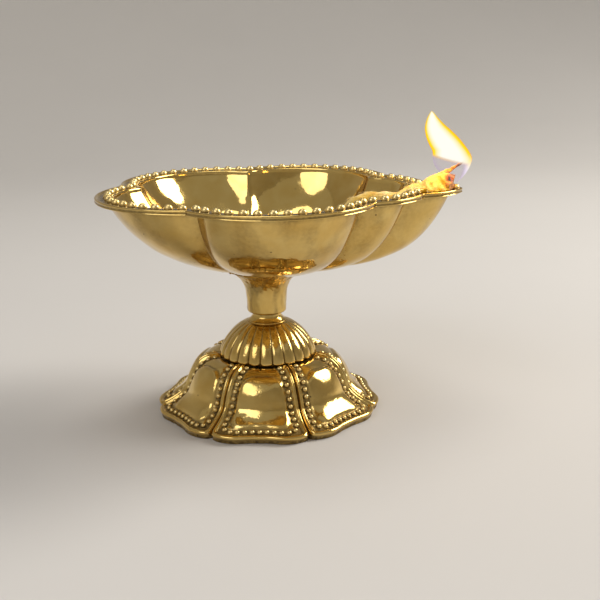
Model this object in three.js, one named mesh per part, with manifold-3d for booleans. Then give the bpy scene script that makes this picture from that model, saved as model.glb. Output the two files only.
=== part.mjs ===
// Brass puja lamp: a seven-lobed bowl with a spout, on a trumpet stem, a fluted dome and a foot of seven
// petals, drawn together by one threaded stud, with a burning cotton wick.
// Millimetres, +Z up. Pieces are drawn about the stem's axis, on the surface the lamp stands on, the spout
// along +X. The group is then moved along X, so that its origin is under the middle of the lamp's length.

import * as THREE from 'three';
import { mergeVertices } from 'three/addons/utils/BufferGeometryUtils.js';
import Module from 'manifold-3d';

const wasm = await Module();
wasm.setup();

// Driving dimensions in millimetres, angles in degrees

const clearance = 0.3; // gap left between castings that touch
const edgeBreak = 0.4; // small chamfer on turned and ground edges

// Foot: radii and heights of the petals
const petalCount = 7;
const petalTurn = 4.2; // the front petal's middle, turned from the bowl's crosswise axis
const footNotchRadius = 36.3; // outer edge between two petals
const footMidRadius = 37.0; // outer edge at the middle of a petal
const footCornerRadius = 38.7; // outer edge at a petal's two rounded corners
const footCornerAngle = 15.5; // of a corner, from the petal's middle
const footWall = 1.8;
const footShoulderRadius = 28.7; // where the steep side turns out to the flared edge
const footShoulderZ = 8.7;
const footSeatZ = 18.3; // flat top that carries the dome
const petalBrow = 0.5; // each petal's shoulder rises this much above the flat top
const panelPuff = 0.9; // pillow of each panel, standing out of the petal
const borderHeight = 0.8; // raised border along a petal's two sides
const borderWidth = 1.9;
const grooveDepth = 0.3; // between the borders of two petals
const panelInset = 4.3; // panel's edge, from the line between two petals
const panelRise = 1.5; // width of the panel's rounded edge
const edgeRoll = 2.4; // height of the rolled outer edge

// Dome with its collar
const domeEdgeRadius = 16.8;
const domeOverhang = 1.0; // the fluted edge stands out this far beyond the seat
const domeHeight = 12.0; // from the seat to the foot of the collar
const domeWall = 1.8;
const domeRoundness = 1.5; // power of the dome's section: 1 is a cone, 2 a half ellipse
const domeLift = 0.6; // lower edge of the flutes, above the flat rim that seats on the foot
const fluteCount = 24;
const fluteDepth = 0.9;
const collarWall = 1.75; // round the bore, at the top
const collarSpread = 1.6; // further out at its foot
const collarHeight = 3.0;

// Stem
const stemHeight = 14.3;
const stemWall = 1.4; // round the socket, at the stem's foot
const stemTopRadius = 12.0;
const stemFlarePower = 4.6; // how suddenly the trumpet opens near its top

// Bowl
const bowlDepth = 27.9; // from the seat on the stem to the top of the flange
const flangeWidth = 6.0; // from the outer edge to the inside of the wall
const flangeOverhang = 3.8; // from the outer edge to the outside of the wall
const flangeThickness = 1.1;
const bowlFloor = 1.7; // thickness of the bottom
const bellyShare = 0.55; // how much of the depth falls evenly as a shallow bowl; the rest falls near the wall
const bellyChange = 0.25; // added at the tail and taken off at the spout, which is fuller
const shoulderPower = 7.5; // sharpness of the turn from belly to wall
const bellyLean = -1.8; // the belly's drift along X
const roundShare = 0.53; // of the radius, inside which the lobes fade into a round bottom
const outerCrease = 2.2; // the wall's creases cut in further than the flange's notches
const innerCrease = 1.1;
const creaseWidth = 4.7; // degrees
const spoutReach = 65.4;
const spoutRootX = 53.1;
const spoutHalfWidth = 13.85;
const sideNotchX = 39.0;
const sideNotchY = 30.2;
const rearNotchX = -15.1;
const rearNotchY = 47.5;
const tailNotchX = -49.2;
const tipBulge = 2.2; // each half of the spout's edge, out of its chord
const smallBulge = 2.5;
const sideBulge = 16.1;
const rearBulge = 16.7;

// Beads on the flange
const beadPitch = 4.28;
const beadRadius = 1.15;
const beadInset = 4.1; // row of bead centres, in from the outer edge
const beadRise = 0.2; // bead centres, above the flange

// Spigot under the bowl, stud, washer and nut
const spigotWall = 1.85;
const spigotLength = 9.0;
const spigotHoleDepth = 7.0;
const studRadius = 2.85;
const studStickOut = 1.5; // below the nut
const washerRadius = 6.5;
const washerThickness = 1.2;
const nutAcrossFlats = 10.0;
const nutHeight = 4.8;

// Wick and flame
const wickRadius = 2.25;
const wickStartX = 13.0; // lower end, on the bowl's floor
const wickSetback = 2.8; // end of the wick, short of the spout's tip
const threadLength = 9.0; // burnt thread that stands off the end of the wick
const threadRadius = 0.9;
const threadTipRadius = 0.35;
const threadRoot = 4.2; // where it leaves the roll, back from the end
const threadLean = 57; // of the thread, from upright
const flameWidth = 12.2;
const flameHeight = 21.4; // from the blue foot beside the wick's end to the tip
const flameDip = 0.4; // foot of the flame, below the middle of the wick's end
const flameTipShift = 0.64; // of its tip, back over the bowl, as a share of its width
const flameDepthShare = 0.75; // crosswise width of the flame to its width along the spout

// Radii and heights that follow from these sizes
const boreRadius = studRadius + clearance;
const spigotRadius = boreRadius + spigotWall;
const socketRadius = spigotRadius + clearance;
const stemFootRadius = socketRadius + stemWall;
const bowlSeatRadius = stemTopRadius + edgeBreak / 2;
const collarRadius = boreRadius + collarWall;
const collarFootRadius = collarRadius + collarSpread;
const domeSeatRadius = domeEdgeRadius - domeOverhang;
const footSeatRadius = domeSeatRadius + edgeBreak / 2;
const domeSeatZ = footSeatZ + clearance;
const collarFootZ = domeSeatZ + domeHeight;
const collarTopZ = collarFootZ + collarHeight;
const stemFootZ = collarTopZ + clearance;
const stemTopZ = stemFootZ + stemHeight;
const bowlSeatZ = stemTopZ + clearance;
const floorZ = bowlSeatZ + bowlFloor; // of the bowl, inside
const rimZ = bowlSeatZ + bowlDepth;
const flangeZ = rimZ - flangeThickness;
const spigotFootZ = bowlSeatZ - spigotLength;
const footPlateZ = footSeatZ - footWall;
const washerTopZ = footPlateZ - clearance;
const nutTopZ = washerTopZ - washerThickness - clearance;
const studFootZ = nutTopZ - nutHeight - studStickOut;
const studTopZ = spigotFootZ + spigotHoleDepth - clearance;

const rad = (degrees) => degrees * Math.PI / 180;
const smooth = (a, b, x) => THREE.MathUtils.smoothstep(x, a, b);

// Brass finishes, cotton and flame

const castBrass = new THREE.MeshStandardMaterial({ color: 0xc9973f, metalness: 1.0, roughness: 0.16 });
const turnedBrass = new THREE.MeshStandardMaterial({ color: 0xc08d38, metalness: 1.0, roughness: 0.24 });
const plainBrass = new THREE.MeshStandardMaterial({ color: 0xa97c34, metalness: 1.0, roughness: 0.38 });
const cotton = new THREE.MeshStandardMaterial({ color: 0xe9d9a4, metalness: 0.0, roughness: 0.85 });
const fire = new THREE.MeshStandardMaterial({ color: 0xffb34a, metalness: 0.0, roughness: 1.0 });

// Closed solids from rings of points

/** Turns a triangle list round where its faces point inwards. */
function faceOut(points, triangles) {
  let volume = 0;
  const [a, b, c] = [new THREE.Vector3(), new THREE.Vector3(), new THREE.Vector3()];
  for (const [i, j, k] of triangles) {
    volume += a.set(...points[i]).dot(b.set(...points[j]).cross(c.set(...points[k])));
  }
  const index = triangles.map(([i, j, k]) => (volume < 0 ? [i, k, j] : [i, j, k])).flat();
  const geometry = new THREE.BufferGeometry();
  geometry.setAttribute('position', new THREE.Float32BufferAttribute(points.flat(), 3));
  geometry.setIndex(index);
  return geometry;
}

/**
 * Skins a list of closed rings with equally many points. With poles, the first and last entries are single
 * points that close the skin; without, the last ring joins the first, as on a hollow casting with a bore.
 */
function skin(rings, poles) {
  const body = poles ? rings.slice(1, -1) : rings;
  const count = body[0].length;
  const points = body.flat();
  const triangles = [];
  const strip = (low, high) => {
    for (let i = 0; i < count; i++) {
      const j = (i + 1) % count;
      triangles.push([low + i, low + j, high + j], [low + i, high + j, high + i]);
    }
  };
  for (let r = 0; r + 1 < body.length; r++) strip(r * count, (r + 1) * count);
  if (poles) {
    const first = points.length;
    points.push(rings[0], rings[rings.length - 1]);
    const top = (body.length - 1) * count;
    for (let i = 0; i < count; i++) {
      const j = (i + 1) % count;
      triangles.push([first, j, i], [first + 1, top + i, top + j]);
    }
  } else {
    strip((body.length - 1) * count, 0);
  }
  return faceOut(points, triangles);
}

function toManifold(geometry) {
  const bare = geometry.clone();
  bare.deleteAttribute('normal');
  bare.deleteAttribute('uv');
  const merged = mergeVertices(bare, 1e-4);
  return new wasm.Manifold(new wasm.Mesh({
    numProp: 3,
    vertProperties: new Float32Array(merged.attributes.position.array),
    triVerts: new Uint32Array(merged.index.array),
  }));
}

function fromManifold(solid) {
  const mesh = solid.getMesh();
  const geometry = new THREE.BufferGeometry();
  geometry.setAttribute('position', new THREE.BufferAttribute(mesh.vertProperties, 3));
  geometry.setIndex(new THREE.BufferAttribute(mesh.triVerts, 1));
  return geometry;
}

const lamp = new THREE.Group();

function addPiece(name, geometry, material) {
  const mesh = new THREE.Mesh(geometry, material);
  mesh.name = name;
  lamp.add(mesh);
  return mesh;
}

/** Solid of revolution about Z from a profile of [radius, z] pairs. */
function lathe(profile, segments) {
  const geometry = new THREE.LatheGeometry(profile.map(([r, z]) => new THREE.Vector2(r, z)), segments);
  geometry.rotateX(Math.PI / 2);
  return geometry;
}

// Bowl outline: seven circular arcs between the notches, mirrored about the spout's axis

/** Points of the arc from p to q that stands out of its chord by bulge, to the right of the way. */
function arc(p, q, bulge, steps) {
  const [dx, dy] = [q[0] - p[0], q[1] - p[1]];
  const chord = Math.hypot(dx, dy);
  const radius = (chord * chord / 4 + bulge * bulge) / (2 * bulge);
  const [nx, ny] = [dy / chord, -dx / chord];
  const cx = (p[0] + q[0]) / 2 + nx * (bulge - radius);
  const cy = (p[1] + q[1]) / 2 + ny * (bulge - radius);
  const start = Math.atan2(p[1] - cy, p[0] - cx);
  const turn = 2 * Math.asin(chord / 2 / radius);
  const points = [];
  for (let i = 0; i < steps; i++) {
    const angle = start + turn * i / steps;
    points.push([cx + radius * Math.cos(angle), cy + radius * Math.sin(angle)]);
  }
  return points;
}

const spoutTip = [spoutReach, 0];
const tail = [tailNotchX, 0];
const [spoutLeft, spoutRight] = [[spoutRootX, spoutHalfWidth], [spoutRootX, -spoutHalfWidth]];
const [sideLeft, sideRight] = [[sideNotchX, sideNotchY], [sideNotchX, -sideNotchY]];
const [rearLeft, rearRight] = [[rearNotchX, rearNotchY], [rearNotchX, -rearNotchY]];

/** Corners and bulges of the outline, counter-clockwise from the spout's tip. */
const lobes = [
  [spoutTip, spoutLeft, tipBulge],
  [spoutLeft, sideLeft, smallBulge],
  [sideLeft, rearLeft, sideBulge],
  [rearLeft, tail, rearBulge],
  [tail, rearRight, rearBulge],
  [rearRight, sideRight, sideBulge],
  [sideRight, spoutRight, smallBulge],
  [spoutRight, spoutTip, tipBulge],
];
const outlineSteps = 48;
const outline = lobes.flatMap(([p, q, bulge]) => arc(p, q, bulge, outlineSteps));

/** Distance from a point to the outline. */
function outlineDistance(x, y) {
  let best = Infinity;
  for (let i = 0; i < outline.length; i++) {
    const [ax, ay] = outline[i];
    const [bx, by] = outline[(i + 1) % outline.length];
    const [dx, dy] = [bx - ax, by - ay];
    const t = THREE.MathUtils.clamp(((x - ax) * dx + (y - ay) * dy) / (dx * dx + dy * dy), 0, 1);
    best = Math.min(best, Math.hypot(x - ax - t * dx, y - ay - t * dy));
  }
  return best;
}

/** Radius at which the ray at this angle is inset millimetres inside the outline. */
function insetRadius(angle, inset) {
  const [cos, sin] = [Math.cos(angle), Math.sin(angle)];
  let low = 0;
  let high = 0;
  for (let i = 0; i < outline.length; i++) {
    const [ax, ay] = outline[i];
    const [bx, by] = outline[(i + 1) % outline.length];
    const [a, b] = [ax * sin - ay * cos, bx * sin - by * cos];
    if (a * b > 0 || a === b) continue;
    const t = a / (a - b);
    const along = (ax + t * (bx - ax)) * cos + (ay + t * (by - ay)) * sin;
    high = Math.max(high, along);
  }
  if (inset === 0) return high;
  for (let i = 0; i < 24; i++) {
    const middle = (low + high) / 2;
    if (outlineDistance(middle * cos, middle * sin) > inset) low = middle;
    else high = middle;
  }
  return low;
}

/** Angles of the bowl's columns: the notches exactly, and even steps across each lobe. */
function bowlAngles() {
  const columns = [6, 4, 13, 13, 13, 13, 4, 6];
  const angles = [];
  lobes.forEach(([p, q], i) => {
    const from = Math.atan2(p[1], p[0]);
    const span = (Math.atan2(q[1], q[0]) - from + 2 * Math.PI) % (2 * Math.PI);
    for (let k = 0; k < columns[i]; k++) angles.push(from + span * k / columns[i]);
  });
  return angles;
}

/** Radius of the bowl's wall at this angle, with the creases cut in at the notches. */
function wallRadius(angle, inset, crease) {
  const notches = lobes.slice(1).map(([p]) => Math.atan2(p[1], p[0]));
  const cut = notches.reduce((sum, notch) => {
    const away = Math.atan2(Math.sin(angle - notch), Math.cos(angle - notch));
    return sum + Math.exp(-((away / rad(creaseWidth)) ** 2));
  }, 0);
  return insetRadius(angle, inset) - crease * cut;
}

/** Height of the wall's section, as a share of its depth, at a share of its radius and at an angle. */
function sectionRise(share, angle) {
  const belly = bellyShare - bellyChange * Math.cos(angle);
  return belly * share ** 2 + (1 - belly) * share ** shoulderPower;
}

function makeBowl() {
  const angles = bowlAngles();
  const inner = angles.map((angle) => wallRadius(angle, flangeWidth, innerCrease));
  const outer = angles.map((angle) => wallRadius(angle, flangeOverhang, outerCrease));
  const edge = angles.map((angle) => insetRadius(angle, 0));
  const round = outer.reduce((sum, r) => sum + r, 0) / outer.length;
  const ring = (radii, z) => angles.map((angle, i) => {
    return [radii[i] * Math.cos(angle), radii[i] * Math.sin(angle), z];
  });

  // Each level is the wall's plan drawn in by its share. The lobes fade into a round bottom.
  const level = (radii, share, bottomZ) => angles.map((angle, i) => {
    const radius = share * THREE.MathUtils.lerp(round, radii[i], smooth(0, roundShare, share));
    const lean = bellyLean * 4 * share * (1 - share);
    const z = bottomZ + (flangeZ - bottomZ) * sectionRise(share, angle);
    return [radius * Math.cos(angle) + lean, radius * Math.sin(angle), z];
  });
  const rings = [[0, 0, floorZ]];
  for (const share of [0.2, 0.42, 0.62, 0.78, 0.88, 0.95]) rings.push(level(inner, share, floorZ));
  rings.push(ring(inner, flangeZ), ring(inner, rimZ), ring(edge, rimZ), ring(edge, flangeZ));
  rings.push(ring(outer, flangeZ));
  for (const share of [0.96, 0.9, 0.8, 0.65, 0.5, 0.36]) rings.push(level(outer, share, bowlSeatZ));
  const seatEdge = angles.map(() => bowlSeatRadius);
  rings.push(ring(seatEdge, bowlSeatZ + edgeBreak), ring(seatEdge, bowlSeatZ), [0, 0, bowlSeatZ]);

  let bowl = toManifold(skin(rings, true));
  bowl = bowl.add(toManifold(lathe([
    [0, spigotFootZ + spigotHoleDepth],
    [boreRadius, spigotFootZ + spigotHoleDepth],
    [boreRadius, spigotFootZ],
    [spigotRadius, spigotFootZ],
    [spigotRadius, bowlSeatZ + bowlFloor / 2],
    [0, bowlSeatZ + bowlFloor / 2],
  ], 24)));
  for (const [x, y] of beadPlaces()) bowl = bowl.add(toManifold(bead(x, y)));
  return fromManifold(bowl);
}

/** Bead centres along the flange, evenly spaced round the row, with two beside the spout's tip. */
function beadPlaces() {
  const steps = 720;
  const row = [];
  for (let i = 0; i <= steps; i++) {
    const angle = 2 * Math.PI * i / steps;
    const radius = insetRadius(angle, beadInset);
    row.push(new THREE.Vector2(radius * Math.cos(angle), radius * Math.sin(angle)));
  }
  const lengths = [0];
  for (let i = 1; i <= steps; i++) lengths.push(lengths[i - 1] + row[i].distanceTo(row[i - 1]));
  const total = lengths[steps];
  const count = Math.round(total / beadPitch);
  const places = [];
  let i = 0;
  for (let k = 0; k < count; k++) {
    const goal = total * (k + 0.5) / count;
    while (lengths[i + 1] < goal) i++;
    const t = (goal - lengths[i]) / (lengths[i + 1] - lengths[i]);
    const place = row[i].clone().lerp(row[i + 1], t);
    places.push([place.x, place.y]);
  }
  return places;
}

/** One bead, faceted, sunk into the flange below its middle. */
function bead(x, y) {
  const geometry = lathe([
    [0, -beadRadius * 0.6],
    [beadRadius * 0.8, -beadRadius * 0.6],
    [beadRadius, 0],
    [beadRadius * 0.7, beadRadius * 0.7],
    [0, beadRadius],
  ], 6);
  return geometry.translate(x, y, rimZ + beadRise);
}

// Stem: a trumpet with a bore for the stud and a socket for the bowl's spigot

function makeStem() {
  const socketZ = spigotFootZ - clearance;
  const flare = (share) => stemFootZ + stemHeight * share;
  const spread = stemTopRadius - stemFootRadius;
  const flareRadius = (share) => stemFootRadius + spread * (0.1 * share + 0.9 * share ** stemFlarePower);
  return lathe([
    [boreRadius, stemFootZ],
    [stemFootRadius - edgeBreak, stemFootZ],
    [stemFootRadius, stemFootZ + edgeBreak],
    ...[0.2, 0.36, 0.5, 0.62, 0.73, 0.83, 0.91, 0.97].map((share) => [flareRadius(share), flare(share)]),
    [stemTopRadius, stemTopZ],
    [socketRadius, stemTopZ],
    [socketRadius, socketZ],
    [boreRadius, socketZ],
    [boreRadius, stemFootZ],
  ], 32);
}

// Dome: a hollow shell with a collar. Each flute is a half-round rib that fades out under the collar.

/** Share of the dome's reach left at a share of its height. */
function domeReach(share) {
  return Math.pow(1 - Math.pow(share, domeRoundness), 1 / domeRoundness);
}

function makeDome() {
  const columnsPerFlute = 3;
  const count = fluteCount * columnsPerFlute;
  const ring = (radius, z, depth) => {
    const points = [];
    for (let i = 0; i < count; i++) {
      const groove = i % columnsPerFlute === 0 ? depth : 0;
      const angle = 2 * Math.PI * i / count;
      const [r, drop] = [radius - groove, z + groove * 0.3];
      points.push([r * Math.cos(angle), r * Math.sin(angle), drop]);
    }
    return points;
  };
  const edgeZ = domeSeatZ + domeLift;
  const crown = domeHeight - domeLift;

  // Outside: rounded from the overhanging edge up to the foot of the collar, then the collar's hollow curve
  const vaultRadius = domeSeatRadius - domeWall;
  const rings = [ring(vaultRadius, domeSeatZ, 0), ring(domeSeatRadius - edgeBreak, domeSeatZ, 0)];
  rings.push(ring(domeSeatRadius, edgeZ, fluteDepth * 0.6), ring(domeEdgeRadius, edgeZ, fluteDepth));
  for (const share of [0.12, 0.3, 0.5, 0.68, 0.83, 0.94]) {
    const radius = THREE.MathUtils.lerp(collarFootRadius, domeEdgeRadius, domeReach(share));
    rings.push(ring(radius, edgeZ + crown * share, fluteDepth * (1 - 0.7 * share)));
  }
  rings.push(ring(collarFootRadius, collarFootZ, 0));
  for (const share of [0.35, 0.7]) {
    const hollow = (collarFootRadius - collarRadius) * Math.pow(1 - share, 2);
    rings.push(ring(collarRadius + hollow, collarFootZ + collarHeight * share, 0));
  }
  rings.push(ring(collarRadius, collarTopZ, 0), ring(boreRadius, collarTopZ, 0));

  // Inside: bore down to the vault, which follows the outside at the wall's thickness
  const vaultZ = collarFootZ - domeWall;
  rings.push(ring(boreRadius, vaultZ, 0));
  for (const share of [0.92, 0.75, 0.5, 0.25]) {
    const radius = THREE.MathUtils.lerp(boreRadius, vaultRadius, domeReach(share));
    rings.push(ring(radius, THREE.MathUtils.lerp(domeSeatZ, vaultZ, share), 0));
  }
  return skin(rings, false);
}

// Foot: seven petals, each with a border along both sides, a channel for beads and a puffed panel

/** Outer edge's radius at an angle from a petal's middle. */
function footEdgeRadius(offset) {
  const half = 180 / petalCount;
  const share = Math.abs(offset) / half;
  const corner = footCornerAngle / half;
  if (share < corner) {
    return THREE.MathUtils.lerp(footMidRadius, footCornerRadius, smooth(0.15, 1, share / corner));
  }
  const fall = Math.min(1, (share - corner) / (1 - corner));
  return footNotchRadius + (footCornerRadius - footNotchRadius) * Math.sqrt(1 - Math.pow(fall, 2.5));
}

/** Point of the petal's steep side at a share of its run, moved inwards by a wall. */
function steepSide(share, wall = 0) {
  const [run, drop] = [footShoulderRadius - footSeatRadius, footSeatZ - footShoulderZ];
  const fall = Math.max(0, (share - 0.2) / 0.8);
  const slope = 2 * drop * fall / 0.8;
  const length = Math.hypot(run, slope);
  const brow = petalBrow * Math.sin(Math.PI * Math.min(1, 2 * share)) * (wall > 0 ? 0 : 1);
  return [
    footSeatRadius + run * share - wall * slope / length,
    footSeatZ + brow - drop * fall ** 2 - wall * run / length,
  ];
}

/** Point of the petal's hollow flare at a share of its run, moved inwards by a wall. */
function flaredEdge(share, wall = 0) {
  const [run, drop] = [footMidRadius - footShoulderRadius, footShoulderZ - edgeRoll];
  return [
    footShoulderRadius + run * share - wall * (1 - share / 2),
    edgeRoll + drop * (1 - share) ** 1.45 - wall * share / 2,
  ];
}

function makeFoot() {
  const half = 180 / petalCount;
  const columns = [0, borderWidth / 2, borderWidth, panelInset, panelInset + panelRise];
  const panelColumn = columns.length - 1;
  const acrossPanel = [0.55, 0];
  const base = -90 + petalTurn;
  const place = (radius, z, offset, petal) => {
    const angle = rad(base + petal * 2 * half + offset);
    return [radius * Math.cos(angle), radius * Math.sin(angle), z];
  };

  /** One ring: the same columns on every petal, each column a distance from the line between two petals. */
  const ring = (radius, z, puff, border, widen) => {
    const points = [];
    const raise = { 0: -grooveDepth * border, 1: borderHeight * border, [panelColumn]: panelPuff * puff };
    for (let petal = 0; petal < petalCount; petal++) {
      const reach = Math.max(radius, footSeatRadius);
      const offsets = columns.map((distance) => half - THREE.MathUtils.radToDeg(distance / reach));
      const panelEdge = offsets[panelColumn];
      acrossPanel.forEach((share) => offsets.push(panelEdge * share));
      const slots = offsets.map((offset, i) => [offset, Math.min(i, panelColumn)]);
      const left = slots.slice(0, -1).map(([offset, i]) => [-offset, i]);
      const right = slots.slice(1).reverse();
      for (const [offset, i] of left.concat(right)) {
        const lift = raise[i] ?? 0;
        const edge = (footEdgeRadius(offset) - footMidRadius) * widen;
        points.push(place(radius + edge + lift * 0.8, z + lift * 0.5 * (1 - widen), offset, petal));
      }
    }
    return points;
  };

  // Outside, from under the dome to the rolled edge. Puff and border fade in below the dome and out
  // at the edge.
  const rings = [];
  for (const share of [0, 0.13, 0.33, 0.52, 0.68, 0.84, 1]) {
    rings.push(ring(...steepSide(share), smooth(0.1, 0.45, share), smooth(0, 0.3, share), 0));
  }
  for (const share of [0.16, 0.4, 0.6, 0.8]) {
    const [puff, border] = [1 - smooth(0.1, 0.55, share), 1 - smooth(0.5, 1, share)];
    rings.push(ring(...flaredEdge(share), puff, border, smooth(0, 1, share)));
  }
  const brokenRadius = footMidRadius - edgeBreak;
  const ringWidth = footWall; // of the flat ground ring that the foot stands on
  rings.push(ring(brokenRadius, edgeRoll, 0, 0, 1), ring(footMidRadius, edgeRoll / 2, 0, 0, 1));
  rings.push(ring(brokenRadius, 0, 0, 0, 1), ring(brokenRadius - ringWidth, 0, 0, 0, 1));

  // Inside, back up to the plate with its bore
  rings.push(ring(brokenRadius - ringWidth, edgeRoll - footWall / 2, 0, 0, 0.7));
  rings.push(ring(...flaredEdge(0.25, footWall), 0, 0, 0), ring(...steepSide(1, footWall), 0, 0, 0));
  rings.push(ring(...steepSide(0.8, footWall), 0, 0, 0), ring(...steepSide(0.5, footWall), 0, 0, 0));
  rings.push(ring(footSeatRadius, footPlateZ, 0, 0, 0), ring(boreRadius, footPlateZ, 0, 0, 0));
  rings.push(ring(boreRadius, footSeatZ, 0, 0, 0));
  return skin(rings, false);
}

// Stud, washer and nut

function makeStud() {
  return lathe([
    [0, studFootZ],
    [studRadius - edgeBreak, studFootZ],
    [studRadius, studFootZ + edgeBreak],
    [studRadius, studTopZ - edgeBreak],
    [studRadius - edgeBreak, studTopZ],
    [0, studTopZ],
  ], 20);
}

function plateWithBore(shape, thickness, topZ) {
  const hole = new THREE.Path();
  hole.absarc(0, 0, boreRadius, 0, 2 * Math.PI, true);
  shape.holes.push(hole);
  const options = { depth: thickness, bevelEnabled: false, curveSegments: 24 };
  return new THREE.ExtrudeGeometry(shape, options).translate(0, 0, topZ - thickness);
}

function makeWasher() {
  const shape = new THREE.Shape();
  shape.absarc(0, 0, washerRadius, 0, 2 * Math.PI, false);
  return plateWithBore(shape, washerThickness, washerTopZ);
}

function makeNut() {
  const corner = nutAcrossFlats / Math.sqrt(3);
  const shape = new THREE.Shape();
  for (let i = 0; i < 6; i++) {
    const angle = Math.PI / 3 * i;
    if (i === 0) shape.moveTo(corner * Math.cos(angle), corner * Math.sin(angle));
    else shape.lineTo(corner * Math.cos(angle), corner * Math.sin(angle));
  }
  shape.closePath();
  return plateWithBore(shape, nutHeight, nutTopZ);
}

// Wick: a cotton roll from the bowl's floor up over the spout, with a burnt thread at its end

const overBeads = Math.sqrt((wickRadius + beadRadius + clearance) ** 2 - (beadPitch / 2) ** 2) + clearance;
const wickEnd = new THREE.Vector3(spoutReach - wickSetback, 0, rimZ + beadRise + overBeads);

/** Middle of the wick: share of its run to the spout, and drop below the flange over the bowl's depth. */
const wickShares = [
  [0, 0.808],
  [0.121, 0.712],
  [0.232, 0.462],
  [0.313, 0.258],
  [0.4, 0.14],
  [0.518, 0.1075],
  [0.637, 0.1],
  [0.764, 0.0145],
];
const wickRun = wickEnd.x - wickStartX;
const wickPoint = (share, z) => new THREE.Vector3(wickStartX + wickRun * share, 0, z);
const wickRoute = new THREE.CatmullRomCurve3([
  ...wickShares.map(([share, drop]) => wickPoint(share, rimZ - bowlDepth * drop)),
  wickPoint(0.879, wickEnd.z - wickRadius * 0.45),
  wickPoint(0.94, wickEnd.z - wickRadius * 0.1),
  wickEnd,
]);

/** Eight-sided roll along the route, and the burnt thread as a thin cone; swell adds to every radius. */
function wickSolid(swell) {
  const section = new THREE.Shape();
  const sides = 8;
  for (let i = 0; i < sides; i++) {
    const angle = 2 * Math.PI * (i + 0.5) / sides;
    const [x, y] = [(wickRadius + swell) * Math.cos(angle), (wickRadius + swell) * Math.sin(angle)];
    if (i === 0) section.moveTo(x, y);
    else section.lineTo(x, y);
  }
  section.closePath();
  const roll = new THREE.ExtrudeGeometry(section, { steps: 16, extrudePath: wickRoute, bevelEnabled: false });
  const length = threadLength + 2 * swell;
  const thread = new THREE.CylinderGeometry(threadTipRadius + swell, threadRadius + swell, length, 6);
  thread.translate(0, length / 2 - swell, 0);
  thread.rotateZ(rad(-threadLean));
  thread.rotateX(Math.PI / 2);
  thread.translate(wickEnd.x - threadRoot, 0, wickEnd.z + wickRadius / 2);
  return toManifold(roll).add(toManifold(thread));
}

// Flame: a drop of light around the end of the wick, leaning back over the bowl as it rises

/** Level's share of the height, shift back from the wick's end over the width, and share of the width. */
const flameLevels = [
  [0.02, -0.15, 0.08],
  [0.12, -0.02, 0.5],
  [0.22, 0.06, 0.92],
  [0.36, 0.04, 1],
  [0.47, 0.1, 0.95],
  [0.6, 0.25, 0.88],
  [0.72, 0.41, 0.74],
  [0.83, 0.53, 0.49],
  [0.92, 0.6, 0.26],
];

function makeFlame() {
  const sides = 12;
  const footZ = wickEnd.z - flameDip;
  const centre = (shift) => wickEnd.x - shift * flameWidth;
  const rings = flameLevels.map(([share, shift, width]) => {
    const points = [];
    for (let k = 0; k < sides; k++) {
      const angle = 2 * Math.PI * k / sides;
      const reach = width * flameWidth / 2;
      const x = centre(shift) + reach * Math.cos(angle);
      points.push([x, reach * flameDepthShare * Math.sin(angle), footZ + share * flameHeight]);
    }
    return points;
  });
  rings.unshift([centre(flameLevels[0][1]), 0, footZ]);
  rings.push([centre(flameTipShift), 0, footZ + flameHeight]);
  const drop = toManifold(skin(rings, true));
  return fromManifold(drop.subtract(wickSolid(clearance)));
}

addPiece('petal_foot', makeFoot(), castBrass);
addPiece('dome', makeDome(), castBrass);
addPiece('stem', makeStem(), castBrass);
addPiece('bowl', makeBowl(), castBrass);
addPiece('tie_stud', makeStud(), turnedBrass);
addPiece('washer', makeWasher(), plainBrass);
addPiece('nut', makeNut(), plainBrass);
addPiece('wick', fromManifold(wickSolid(0)), cotton);
addPiece('flame', makeFlame(), fire);

// The lamp stands at the middle of its length, on the surface under it
const box = new THREE.Box3().setFromObject(lamp);
lamp.position.x = -(box.min.x + box.max.x) / 2;

export default lamp;
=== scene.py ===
import math

import bpy
import numpy as np
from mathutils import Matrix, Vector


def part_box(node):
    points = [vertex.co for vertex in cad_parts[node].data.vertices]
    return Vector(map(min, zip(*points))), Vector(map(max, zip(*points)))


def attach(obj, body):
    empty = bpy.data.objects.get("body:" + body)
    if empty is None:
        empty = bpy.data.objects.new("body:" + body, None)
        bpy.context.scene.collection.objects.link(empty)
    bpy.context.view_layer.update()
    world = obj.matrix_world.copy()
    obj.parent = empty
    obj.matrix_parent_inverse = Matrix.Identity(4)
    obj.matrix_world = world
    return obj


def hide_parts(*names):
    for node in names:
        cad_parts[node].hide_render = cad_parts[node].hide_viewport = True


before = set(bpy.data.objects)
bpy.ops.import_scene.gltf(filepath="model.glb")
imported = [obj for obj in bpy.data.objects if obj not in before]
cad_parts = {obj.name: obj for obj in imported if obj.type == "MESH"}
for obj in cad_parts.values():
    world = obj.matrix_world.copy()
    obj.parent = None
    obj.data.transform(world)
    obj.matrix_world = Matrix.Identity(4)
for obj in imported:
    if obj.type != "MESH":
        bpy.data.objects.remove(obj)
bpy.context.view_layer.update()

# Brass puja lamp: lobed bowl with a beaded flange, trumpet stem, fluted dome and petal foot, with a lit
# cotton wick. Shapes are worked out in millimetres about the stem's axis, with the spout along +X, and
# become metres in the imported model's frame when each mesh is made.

MM = 0.001
stem_low, stem_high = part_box("stem")
AXIS_X = (stem_low.x + stem_high.x) / 2  # of the stem's axis, in metres

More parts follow.
